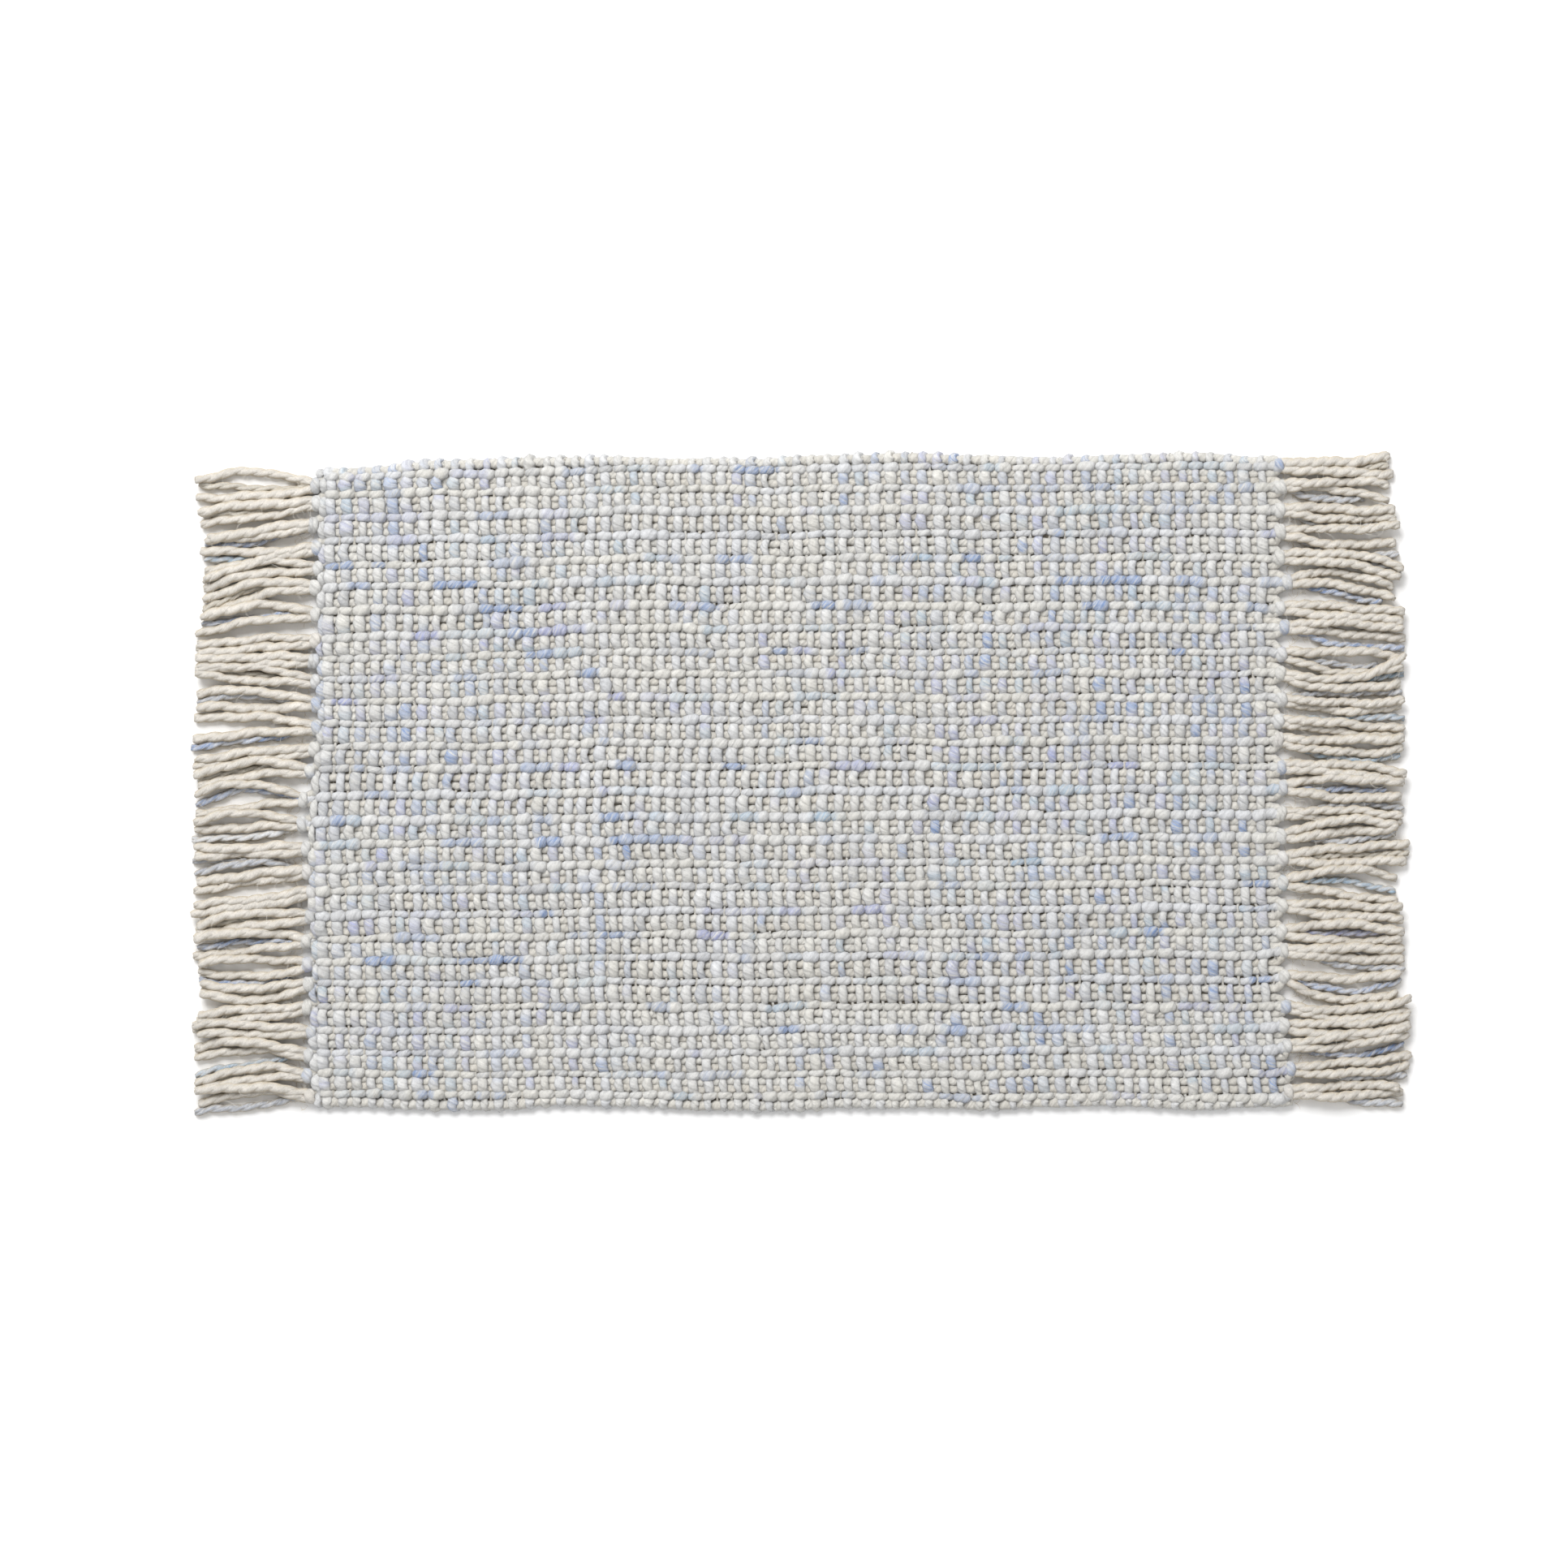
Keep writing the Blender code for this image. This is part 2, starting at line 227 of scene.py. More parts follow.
RIGHT_KNOTS = [Knot(*line) for line in (
    (352, 234, "blue", 434, 2, 7, "cream", -2, 0, -5, -6),
    (353, 218, "white", 433, 4, 2, "grey", -8, -9, -1, -11, 0.8),
    (353, 201, "white", 436, 1, 0, "grey", -12, -10, -6, -6),
    (353, 185, "white", 439, 2, 5, "grey", -15, -16, -9, -8),
    (353, 166, "white", 442, 3, -7, "grey", -3, -10, -4, -14),
    (358, 148, "blue", 437, 7, -4, "blue", -8, -14, -2, -12, 0.9),
    (353, 129, "white", 444, 1, -3, "cream", -3, -6, -6, -9),
    (356, 115, "blue", 445, 3, -1, "blue", -13, -15, -4, -9),
    (354, 95, "lavender", 442, 2, -1, "grey", -7, -8, -13, -10, 0.8),
    (353, 81, "white", 443, -4, 13, "sky", -6, 0, -11, -6),
    (354, 62, "white", 443, -3, 0, "grey", 5, 4, -8, -5),
    (352, 46, "white", 444, -2, -5, "sky", 2, 2, -8, -13),
    (352, 32, "cream", 442, 0, 2, "sky", -14, -11, -9, -6),
    (354, 12, "blue", 444, 2, -4, "cream", -1, -8, -4, -12),
    (355, -3, "blue", 443, 7, 3, "blue", -2, -1, -7, -7, 0.85),
    (354, -22, "white", 444, 2, -1, "grey", 6, 5, -3, -6),
    (354, -39, "white", 440, 12, 9, "grey", -3, 2, 3, 7),
    (355, -55, "cream", 446, 8, 10, "cream", 2, 4, -3, -1),
    (355, -73, "sky", 439, 10, 4, "sky", 1, -6, -8, -14),
    (355, -90, "white", 442, 1, -1, "cream", -3, -5, -7, -9),
    (354, -109, "white", 443, 6, 0, "lavender", -1, -1, -7, -5, 0.95),
    (356, -123, "white", 444, 2, 2, "grey", -10, -14, -5, -6),
    (356, -142, "white", 441, -1, 2, "blue", -10, -3, -17, -11),
    (357, -164, "blue", 447, -2, 7, "cream", -5, 2, -9, -3),
    (356, -178, "white", 446, 2, 7, "cream", -3, 4, -7, 1),
    (358, -193, "white", 446, 8, 14, "blue", -7, 1, 1, 9),
    (361, -210, "blue", 448, 5, 11, "grey", -5, -5, -3, 3),
    (359, -227, "cream", 442, 5, 4, "grey", -5, -9, -2, 0),
)]
BUNDLE_SPREAD = 2.0     # of the outer two ends' middles from the middle of their knot
BUNDLE_HEIGHT = 5.0
# The twist of the loose ends: the length of a full turn, and for the outer ends and the cores
# the half width of a ply and how far it circles out.
Twist = namedtuple("Twist", "pitch ply orbit core_ply core_orbit")
LEFT_TWIST = Twist(23.0, 3.0, 0.85, 2.2, 1.0)
RIGHT_TWIST = Twist(18.0, 2.85, 1.05, 2.1, 1.1)
END_RINGS = 34
END_SIDES = 7
LEAVE = 0.16            # the share of an end's length in which it comes down to the floor
OPEN_TIP = 0.1          # the share of an end's length over which its tip untwists
END_SWAY = ((0.8, 1.0, 10.0), (0.5, 2.3, 4.9))     # size, phase and length of its small waves
TIP_REACH = (-3.0, 1.5)     # how far an end's tip may lie past its place
PITCH_SHARES = (0.88, 1.14)
PLY_DIFFERENCE = 0.07   # from one end to the next
PLY_CHANGE = Change(0.1, 0.08)      # along a ply, with the step as a share of its length
PLY_LIGHT = Change(0.15, 0.025)
TIP_SIZE = 0.7
PRESS = 0.86            # how far ends that lie on each other press together
HIGHEST_END = 9.5
WRAP_RADIUS_Y = 3.5     # of the middle line of the yarn wrapped round a bundle
WRAP_RADIUS_Z = 3.2
WRAP_HALF_WIDTH = 3.9
WRAP_HALF_HEIGHT = 2.4
WRAP_LIFT = 0.3         # of its middle above the bundle's
WRAP_TURNS = (1.15, 1.25, 1.9)      # round the bundle; the last one makes a double wrap
WRAP_CHANCES = (0.45, 0.3, 0.25)
DOUBLE_WRAP_SIZE = 0.72
DOUBLE_WRAP_SLANT = 3.4
WRAP_CHANGE = Change(0.2, 0.06)
WRAP_RINGS = 34
WRAP_SIDES = 9

FIBRE_HALF = 0.095      # half width of a stray fibre
FIBRE_RINGS = 5
FIBRE_SIDES = 3
FIBRE_SPREAD = 0.5      # of its heading, in radians
FIBRE_CURL = 1.1
FIBRE_RISE = 0.5        # the most that it bows up or down, as a share of the longest one
FRINGE_FIBRES = 800     # to each end
TIP_FIBRES = 4          # to each loose end
# Dark jute-brown fibres low by each knot: partly real fuzz, partly painted shade in the gaps.
FUZZ_AND_SHADE_FIBRES = 14        # low down by each knot
WEAVE_FIBRES = 600

# Flecks of dyed fibre. row is counted from the +Y edge, start and end are along the yarn.
RowFleck = namedtuple("RowFleck", "hue row start end strength")
ROW_FLECKS = [RowFleck(hue, *line) for hue, lines in {
    "blue": (
        (1, -175, -156, 0.55), (1, -80, -72, 0.6), (1, -49, -16, 0.9), (1, 100, 137, 0.45),
        (2, -306, -292, 0.5), (2, 208, 232, 0.6), (2, 306, 315, 0.5), (3, 258, 290, 0.4),
        (4, -22, -8, 0.45), (4, 186, 192, 0.75), (5, -350, -329, 0.9), (5, -315, -306, 0.8),
        (5, -62, -36, 0.75), (5, 118, 134, 0.95), (6, -333, -317, 0.7), (6, -270, -238, 1.0),
        (6, 52, 59, 0.6), (6, 115, 121, 0.5), (6, 187, 200, 0.9), (6, 200, 220, 0.7),
        (6, 220, 250, 1.0), (6, 276, 295, 0.7), (7, -236, -204, 0.95), (7, -97, -85, 0.7),
        (7, -78, -60, 0.8), (7, 8, 26, 0.95), (7, 31, 53, 0.65), (7, 207, 226, 0.95),
        (7, 327, 343, 0.65), (8, -215, -195, 0.85), (8, 321, 334, 0.5), (9, -297, -291, 0.55),
        (9, -202, -180, 0.85), (9, -22, -10, 0.85), (9, 40, 49, 0.85), (9, 270, 283, 0.95),
        (10, -255, -237, 0.55), (10, -163, -148, 0.85), (10, 121, 131, 0.5), (12, 207, 226, 0.6),
        (13, -148, -141, 0.55), (13, -4, 17, 0.75), (14, -330, -320, 0.6), (14, -207, -182, 0.6),
        (14, -136, -120, 0.8), (14, -58, -40, 0.9), (15, -10, 2, 0.6), (16, -345, -336, 0.9),
        (16, -231, -219, 0.6), (16, -195, -183, 0.55), (16, -148, -130, 0.9), (16, -127, -120, 0.6),
        (17, -264, -234, 0.65), (17, -194, -175, 0.95), (17, -140, -129, 0.95), (17, -129, -87, 0.75),
        (17, 220, 247, 0.75), (17, 294, 306, 0.5), (19, -162, -150, 0.55), (19, 100, 119, 0.55),
        (19, 325, 345, 0.9), (20, -192, -182, 0.95), (21, -171, -157, 0.55), (21, -148, -129, 0.9),
        (21, 252, 266, 1.0), (22, -322, -299, 0.9), (22, -255, -231, 0.7), (22, -231, -204, 1.0),
        (22, -46, -37, 0.5), (22, 73, 91, 0.4), (22, 127, 139, 0.75), (22, 157, 169, 0.6),
        (23, -253, -236, 0.85), (23, -194, -183, 0.55), (23, 112, 127, 0.55), (23, 264, 273, 0.5),
        (23, 330, 345, 0.95), (24, -189, -162, 0.55), (24, 148, 166, 0.85), (25, -61, -52, 0.6),
        (25, -16, -2, 0.9), (25, 70, 85, 0.5), (25, 106, 121, 0.8), (26, 151, 166, 0.55),
        (27, -287, -270, 0.95), (27, -121, -112, 0.45), (27, -109, -99, 0.6), (28, -282, -270, 0.7),
        (28, -225, -216, 0.65),
    ),
    "lavender": (
        (1, -333, -323, 0.5), (3, -350, -278, 0.35), (3, -190, -172, 0.4), (4, -303, -284, 0.5),
        (7, -192, -171, 0.8), (8, -286, -267, 0.9), (8, -195, -171, 0.85), (8, 163, 181, 0.4),
        (9, -5, 8, 0.7), (10, 19, 27, 0.7), (10, 64, 100, 0.35), (11, -345, -326, 0.95),
        (11, -142, -130, 0.85), (12, -160, -144, 0.7), (14, -178, -163, 0.9), (14, 25, 53, 0.7),
        (14, 225, 247, 0.9), (15, -148, -141, 0.6), (18, -320, -311, 0.5), (18, -6, 61, 0.3),
        (20, -213, -195, 0.4), (20, -16, 0, 0.6), (20, 38, 62, 0.85), (21, -76, -53, 0.95),
        (25, -318, -308, 0.4), (26, -82, -73, 0.5), (28, -34, -28, 0.45),
    ),
    "sky": (
        (1, -130, -112, 0.45), (3, 187, 202, 0.6), (4, -237, -223, 0.65), (5, 82, 96, 0.85),
        (5, 145, 154, 0.5), (6, -198, -186, 0.5), (6, 129, 142, 0.55), (8, -264, -216, 0.35),
        (9, -262, -246, 0.55), (10, 28, 44, 0.5), (14, 124, 148, 0.6), (15, -201, -177, 0.4),
        (15, 181, 211, 0.65), (16, -333, -323, 0.6), (16, -112, -99, 0.5), (16, -52, -31, 0.65),
        (16, 8, 26, 0.85), (18, -267, -243, 0.5), (18, 154, 178, 0.85), (19, -183, -171, 0.55),
        (19, 8, 14, 0.55), (20, 321, 328, 0.55), (21, -38, -32, 0.6), (21, 225, 241, 0.6),
        (22, -299, -255, 0.35), (23, -171, -144, 0.4), (27, -297, -285, 0.5),
    ),
}.items() for line in lines]
# x is where a wide pick crosses the mat, start and end are in y along it.
PickFleck = namedtuple("PickFleck", "hue x start end strength")
PICK_FLECKS = [PickFleck(hue, *line) for hue, lines in {
    "blue": (
        (-298, 233, 181, 0.6), (-278, 176, 162, 0.9), (-278, 158, 147, 0.75), (-264, 225, 214, 0.7),
        (-186, 200, 163, 0.55), (-10, 197, 185, 0.5), (-221, 125, 116, 0.5), (-289, 60, 48, 0.7),
        (-289, 42, 30, 0.95), (-257, 24, 15, 0.95), (-257, 6, -3, 0.75), (33, 230, 221, 0.65),
        (33, 212, 205, 0.9), (78, 230, 221, 0.4), (113, 244, 236, 0.9), (136, 143, 131, 0.45),
        (136, 129, 119, 0.9), (136, 111, 87, 0.95), (159, 179, 170, 0.9), (170, 194, 185, 0.45),
        (170, 111, 105, 0.55), (184, 129, 119, 0.8), (220, 78, 69, 0.95), (220, 60, 48, 0.95),
        (242, 60, 51, 0.95), (242, 6, -6, 0.4), (242, -9, -20, 0.85), (287, 227, 221, 0.5),
        (287, 209, 200, 0.55), (300, 212, 203, 0.7), (300, 57, 48, 0.7), (276, 141, 131, 0.7),
        (276, 125, 119, 0.6), (278, -9, -18, 0.9), (278, -27, -36, 0.95), (288, 111, 99, 0.7),
        (288, 60, 48, 0.55), (288, 45, 33, 0.9), (288, -47, -57, 0.95), (288, -63, -71, 0.7),
        (324, 158, 152, 0.75), (324, 141, 135, 0.5), (324, 60, 48, 0.95), (327, 75, 66, 0.95),
        (327, -27, -36, 0.9), (327, -47, -57, 0.95), (339, 39, 30, 0.55), (100, -27, -38, 0.95),
        (137, -9, -20, 0.6), (185, -12, -20, 0.5), (223, -80, -89, 0.9), (223, -116, -140, 0.7),
        (200, -113, -125, 0.9), (200, -131, -143, 0.95), (100, -185, -194, 0.5),
        (127, -155, -161, 0.5), (269, -101, -113, 0.85), (269, -149, -158, 0.85),
        (269, -167, -176, 0.7), (269, -185, -194, 0.75), (303, -101, -107, 0.5),
        (303, -131, -143, 0.9), (303, -149, -158, 0.9), (172, -164, -179, 0.9),
        (172, -185, -194, 0.95), (172, -203, -227, 0.7), (58, -203, -212, 0.9), (92, -218, -227, 0.9),
        (115, -170, -179, 0.8), (293, -203, -227, 0.5), (344, -200, -227, 0.9), (-328, -86, -92, 0.5),
        (-260, -80, -92, 0.5), (-313, -185, -212, 0.55), (-146, -44, -56, 0.55),
        (-126, -44, -56, 0.95), (-238, -173, -182, 0.8), (-144, -203, -212, 0.75),
        (-249, -232, -239, 0.7),
    ),
    "lavender": (
        (-232, 106, 98, 0.85), (149, 78, 69, 0.55), (170, 93, 81, 0.5), (181, 230, 218, 0.5),
        (184, 27, 15, 0.8), (217, 179, 170, 0.7), (100, -9, -18, 0.8), (200, -149, -158, 0.75),
        (-306, -47, -57, 0.7), (-328, -101, -110, 0.9), (-247, -83, -92, 0.6),
        (-351, -155, -164, 0.8),
    ),
    "sky": (
        (-254, 194, 164, 0.5), (-232, 91, 84, 0.5), (136, 212, 203, 0.55), (136, 78, 69, 0.55),
        (125, 93, 78, 0.5), (149, 93, 84, 0.5), (217, 197, 185, 0.5), (300, 230, 218, 0.55),
        (288, 93, 84, 0.55), (327, -63, -71, 0.55), (135, -101, -122, 0.65),
    ),
}.items() for line in lines]
FLECK_FADE = 3.0
FAINT_ROW_FLECKS = 9    # to each thick row
FAINT_PICK_FLECKS = 5   # to each wide pick in the mat's plainer middle
END_PICK_FLECKS = 20    # to each wide pick nearer its ends
PLAIN_PICKS = (15, 37)
FAINT_LENGTHS = (8.0, 34.0)
FAINT_STRENGTHS = (0.2, 0.6)
TINT_LIGHT = 0.03       # slow random change of a yarn's light


def linear(red, green, blue):
    """A colour given as a picture shows it, made ready for the light's sums."""
    share = np.array((red, green, blue)) / 255.0
    return np.where(share <= 0.04045, share / 12.92, ((share + 0.055) / 1.055) ** 2.4)


HUES = {
    "pale": linear(206, 207, 209),
    "white": linear(209, 207, 201),
    "cream": linear(201, 196, 186),
    "ecru": linear(209, 204, 196),
    # painted shade: the grey that the yarns' flanks and undersides are mixed towards
    "flank": linear(140, 142, 147),
    # painted shade: the brown that the loose ends' flanks are mixed towards; also the fuzz's colour
    "jute": linear(176, 157, 118),
    "fibre": linear(226, 222, 214),
    "grey": linear(160, 164, 173),
    "blue": linear(122, 147, 190),
    "lavender": linear(146, 153, 197),
    "sky": linear(142, 170, 193),
}


def read(stations, at):
    """Read a table of stations along straight lines between them."""
    table = np.array(stations, float)
    return np.interp(at, table[:, 0], table[:, 1])


def wander(rng, at, step, size):
    """Smooth random values along a line, with a new one drawn every step."""
    at = np.asarray(at, float)
    place = (at - at.min()) / step
    low = np.floor(place).astype(int)
    drawn = rng.normal(0.0, size, low.max() + 2)
    share = (1.0 - np.cos((place - low) * np.pi)) / 2.0
    return drawn[low] * (1.0 - share) + drawn[low + 1] * share


def row_lines(rng, lines, at, step, size):
    """One smooth random line for each of several yarns."""
    return np.array([wander(rng, at, step, size) for _ in range(lines)])


def anywhere(rng, span, yarns):
    """A random place within a span for each of several yarns."""
    return rng.uniform(0.0, span, (yarns, 1))


# Places in the weave

def pick_share(pick):
    """How far along the mat a pick lies, 0 at its left end and 1 at its right."""
    fine = np.linspace(0.0, PICKS, PICKS * 20 + 1)
    spacing = read(PICK_SPACING, fine)
    travelled = np.concatenate(([0.0], np.cumsum((spacing[1:] + spacing[:-1]) / 2.0)))
    return np.interp(pick, fine, travelled / travelled[-1])


def pick_x(pick, y):
    """The x of a pick where it crosses y."""
    left = read(LEFT_END, y)
    right = read(RIGHT_END, y) - RIGHT_MARGIN
    beyond = np.maximum(pick - PICKS, 0.0) * PICK_SPACING[-1].value
    return left + (right - left) * pick_share(pick) + beyond


def line_y(line, x):
    """The y of a lengthwise line at x: line 0 is the +Y edge, then come the rows, then -Y."""
    rows = np.array(ROWS, float)[np.clip(line - 1, 0, ROW_COUNT - 1)]
    to_middle = np.minimum((x - ROW_X_LEFT) / (ROW_X_MIDDLE - ROW_X_LEFT), 1.0)
    past_middle = np.maximum((x - ROW_X_MIDDLE) / (ROW_X_RIGHT - ROW_X_MIDDLE), 0.0)
    y = rows[..., 0] + (rows[..., 1] - rows[..., 0]) * to_middle
    y = y + (rows[..., 2] - rows[..., 1]) * past_middle
    y = np.where(line == 0, read(TOP_EDGE, x), y)
    return np.where(line > ROW_COUNT, read(BOTTOM_EDGE, x), y)


def lane_y(lane, x):
    """The y of a lane at x. Lanes are counted from the +Y edge, and row 1 lies at lane 0.5."""
    lane, x = np.broadcast_arrays(lane, x)
    line = np.clip(np.floor(lane + 0.5), 0, ROW_COUNT).astype(int)
    near = np.clip(line - 0.5, 0, ROW_COUNT)
    far = np.clip(line + 0.5, 0, ROW_COUNT)
    share = (lane - near) / (far - near)
    return line_y(line, x) * (1.0 - share) + line_y(line + 1, x) * share


def pulled(pull, across, along):
    """How far places are pulled out of line."""
    bend = PULL_BEND * np.sin(along / pull.bend_length)
    slow = pull.slow * np.sin(across / pull.slow_length + bend)
    return slow + pull.fast * np.sin(across / pull.fast_length + along / pull.lean_length)


def place(pick, lane):
    """The x and y of a pick and a lane, pulled a little out of line as in a hand-woven cloth."""
    y = lane_y(lane, pick_x(pick, 0.0))
    x = pick_x(pick, y)
    y = lane_y(lane, x)
    return x + pulled(X_PULL, y, x), y + pulled(Y_PULL, x, y)


# Yarns as tubes. A path holds, for each yarn and ring, x, y, z and the section's halves.

Block = namedtuple("Block", "verts tints dyes faces strand_map lengths girths page_map")


def laid_out(wave, middles):
    """A wave repeated at each of the middles: where its rings lie, their phases and shapes."""
    table = np.array(wave, float)
    at = (np.asarray(middles, float)[:, None] + table[:, 0]).ravel()
    return at, np.tile(table[:, 0], len(middles)), np.tile(table[:, 1:], (len(middles), 1))


def sized(x, y, shape, wide, high, lift=0.0):
    """Paths with the section of a shape, made wider and higher by random sizes."""
    height = np.broadcast_to(shape[:, 0] + lift, x.shape)
    return np.stack((x, y, height, shape[:, 1] * wide, shape[:, 2] * high), axis=-1)


def swollen(rng, yarns, middles, rings, size):
    """A random size for every float of every yarn, repeated for the float's rings."""
    drawn = np.clip(rng.normal(1.0, size, (yarns, middles)), 1.0 - 2.0 * size, 1.0 + 2.6 * size)
    return np.repeat(drawn, rings, axis=1)


def ring_frames(centres, reference, lean):
    """The directions across and over each ring of points of each yarn."""
    tangent = np.gradient(centres, axis=1)
    rise = tangent @ reference
    tangent = tangent - reference * (rise * (1.0 - lean))[..., None]
    tangent /= np.linalg.norm(tangent, axis=-1, keepdims=True)
    across = np.cross(reference, tangent)
    across /= np.linalg.norm(across, axis=-1, keepdims=True)
    return across, np.cross(tangent, across)


def travelled(centres):
    """The length of each yarn up to each ring."""
    steps = np.linalg.norm(np.diff(centres, axis=1), axis=-1)
    return np.concatenate((np.zeros((len(centres), 1)), np.cumsum(steps, axis=1)), axis=1)


def tube_faces(index):
    """The walls and the two closed ends of tubes, by the numbers of their corners."""
    turned = np.roll(index, -1, axis=2)
    quads = np.stack((index[:, :-1], turned[:, :-1], turned[:, 1:], index[:, 1:]), axis=-1)
    return quads.reshape(-1, 4).tolist() + index[:, 0, ::-1].tolist() + index[:, -1].tolist()


def corner_maps(length, sides):
    """The corners' places along and round each yarn: on its walls and on its two ends."""
    yarns, rings = length.shape
    around = np.arange(sides) / sides
    next_around = around + 1.0 / sides
    along = np.broadcast_to(length[..., None], (yarns, rings, sides))
    near, far = along[:, :-1], along[:, 1:]
    walls_u = np.stack((near, near, far, far), axis=-1)
    walls_v = np.stack((around, next_around, next_around, around), axis=-1)
    walls = np.stack((walls_u, np.broadcast_to(walls_v, walls_u.shape)), axis=-1)
    around = np.broadcast_to(around, (yarns, sides))
    first_end = np.stack((along[:, 0, ::-1], around[:, ::-1]), axis=-1)
    return walls.reshape(yarns, -1, 2), first_end, np.stack((along[:, -1], around), axis=-1)


def yarn_block(path, tints, dyes, sides, pitch, lobes=0.0, reference=UP, lean=RING_LEAN, start=0.0):
    """Tubes along the paths, two-lobed like plied yarn, with closed ends."""
    yarns, rings = path.shape[:2]
    centres = path[..., :3]
    across, over = ring_frames(centres, reference, lean)
    length = travelled(centres)
    twist = length + start
    angle = np.linspace(-0.5 * np.pi, 1.5 * np.pi, sides, endpoint=False)
    lobe = 1.0 + lobes * np.cos(2.0 * (angle + TURN * twist[..., None] / pitch))
    wide = (path[..., 3, None] * lobe * np.cos(angle))[..., None]
    high = (path[..., 4, None] * lobe * np.sin(angle))[..., None]
    verts = centres[:, :, None] + across[:, :, None] * wide + over[:, :, None] * high
    verts[..., 2] = np.maximum(verts[..., 2], LOWEST)
    index = np.arange(yarns * rings * sides).reshape(yarns, rings, sides)
    maps = corner_maps(length, sides)
    offset = np.broadcast_to(np.asarray(start, float), (yarns, rings))[:, :1, None]
    shift = np.concatenate((offset, 0.0 * offset), axis=-1)
    all_tints = np.broadcast_to(tints[:, :, None], verts.shape)
    all_dyes = np.broadcast_to(dyes[:, :, None], verts.shape[:3] + (4,))
    girths = np.pi * (path[..., 3].mean(axis=1) + path[..., 4].mean(axis=1))
    return Block(verts.reshape(-1, 3), all_tints.reshape(-1, 3), all_dyes.reshape(-1, 4),
                 tube_faces(index), np.concatenate([(part + shift).reshape(-1, 2) for part in maps]),
                 length[:, -1], girths, maps)


def joined(blocks, field):
    """One field of all the blocks, end to end."""
    return np.concatenate([getattr(block, field) for block in blocks])


PAGE_SLACK = 1.04


def page_places(lengths, girths):
    """Places for the unrolled yarns on a page, in columns with the longest first."""
    side = np.sqrt(np.sum(lengths * girths)) * PAGE_SLACK
    places = np.zeros((len(lengths), 2))
    x = y = widest = tallest = 0.0
    for k in np.argsort(-lengths, kind="stable"):
        if y > 0.0 and y + girths[k] > side:
            x += widest
            y = widest = 0.0
        places[k] = x, y
        y += girths[k]
        widest = max(widest, lengths[k])
        tallest = max(tallest, y)
    return places, np.array((x + widest, tallest))


def page_map(blocks):
    """The corners' places when every yarn is cut open and laid side by side on one page."""
    lengths = joined(blocks, "lengths")
    girths = joined(blocks, "girths")
    places, page = page_places(lengths, girths)
    laid = []
    first = 0
    for block in blocks:
        last = first + len(block.lengths)
        for part in block.page_map:
            scaled = part * np.stack((np.ones(last - first), girths[first:last]), axis=-1)[:, None]
            laid.append(((scaled + places[first:last, None]) / page).reshape(-1, 2))
        first = last
    return np.concatenate(laid)


def new_yarns(name, blocks, material, node, smooth=True):
    """One object from blocks of yarns, which stands for a solid of the frame."""
    verts = joined(blocks, "verts") * MM
    faces = []
    first = 0
    for block in blocks:
        faces += [[corner + first for corner in face] for face in block.faces]
        first += len(block.verts)
    mesh = bpy.data.meshes.new(name)
    mesh.from_pydata(verts.tolist(), [], faces)
    if smooth:
        mesh.shade_smooth()
    tints = joined(blocks, "tints")
    tints = np.concatenate((tints, np.ones((len(tints), 1))), axis=1)
    for layer_name, colours in (("tint", tints), ("dye", joined(blocks, "dyes"))):
        layer = mesh.color_attributes.new(name=layer_name, type="FLOAT_COLOR", domain="POINT")
        layer.data.foreach_set("color", colours.ravel().astype(np.float32))
    strand = joined(blocks, "strand_map") * (MM, 1.0)
    for map_name, corners in (("Strand", strand), ("OFBake", page_map(blocks))):
        mesh.uv_layers.new(name=map_name).data.foreach_set("uv", corners.ravel().astype(np.float32))
    mesh.materials.append(material)
    obj = bpy.data.objects.new(name, mesh)
    bpy.context.scene.collection.objects.link(obj)
    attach(obj, "root")
    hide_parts(node)
    return obj


# Colours along the yarns

def blended(tints, colour, share):
    """Tints moved towards a colour by a share at each ring."""
    share = np.asarray(share)[..., None]
    return tints * (1.0 - share) + colour * share


def mottled(rng, hue, other, at, yarns, step, size):
    """Tints of several yarns that drift between two hues along their length."""
    base = np.broadcast_to(HUES[hue], (yarns, len(at), 3))
    drift = 0.5 + row_lines(rng, yarns, at, step, size) + rng.normal(0.0, size, (yarns, 1))
    light = 1.0 + row_lines(rng, yarns, at, step / 2.0, TINT_LIGHT)
    return blended(base, HUES[other], np.clip(drift, 0.0, 1.0)) * light[..., None]


def undyed(*shape):
    """No dye at each ring: a hue and its strength."""
    return np.tile((0.5, 0.5, 0.5, 0.0), shape + (1,))


def dye_in(dyes, hue, share):
    """Add a dye at each ring, the stronger one over the weaker."""
    stronger = share > dyes[..., 3]
    dyes[stronger, :3] = HUES[hue]
    dyes[..., 3] = np.maximum(dyes[..., 3], share)


def inside(at, start, end):
    """1 between start and end, fading to 0 just outside them."""
    low, high = min(start, end), max(start, end)
    rise = np.clip((at - low) / FLECK_FADE + 0.5, 0.0, 1.0)
    return rise * np.clip((high - at) / FLECK_FADE + 0.5, 0.0, 1.0)


def add_faint_flecks(rng, dyes, count, at):
    """Dye random faint flecks into one yarn."""
    starts = rng.uniform(at.min(), at.max(), count)
    lengths = rng.uniform(*FAINT_LENGTHS, count)
    strengths = rng.uniform(*FAINT_STRENGTHS, count)
    hues = rng.choice(("blue", "lavender", "sky", "grey"), count)
    for start, length, strength, hue in zip(starts, lengths, strengths, hues):
        dye_in(dyes, hue, inside(at, start, start + length) * strength)


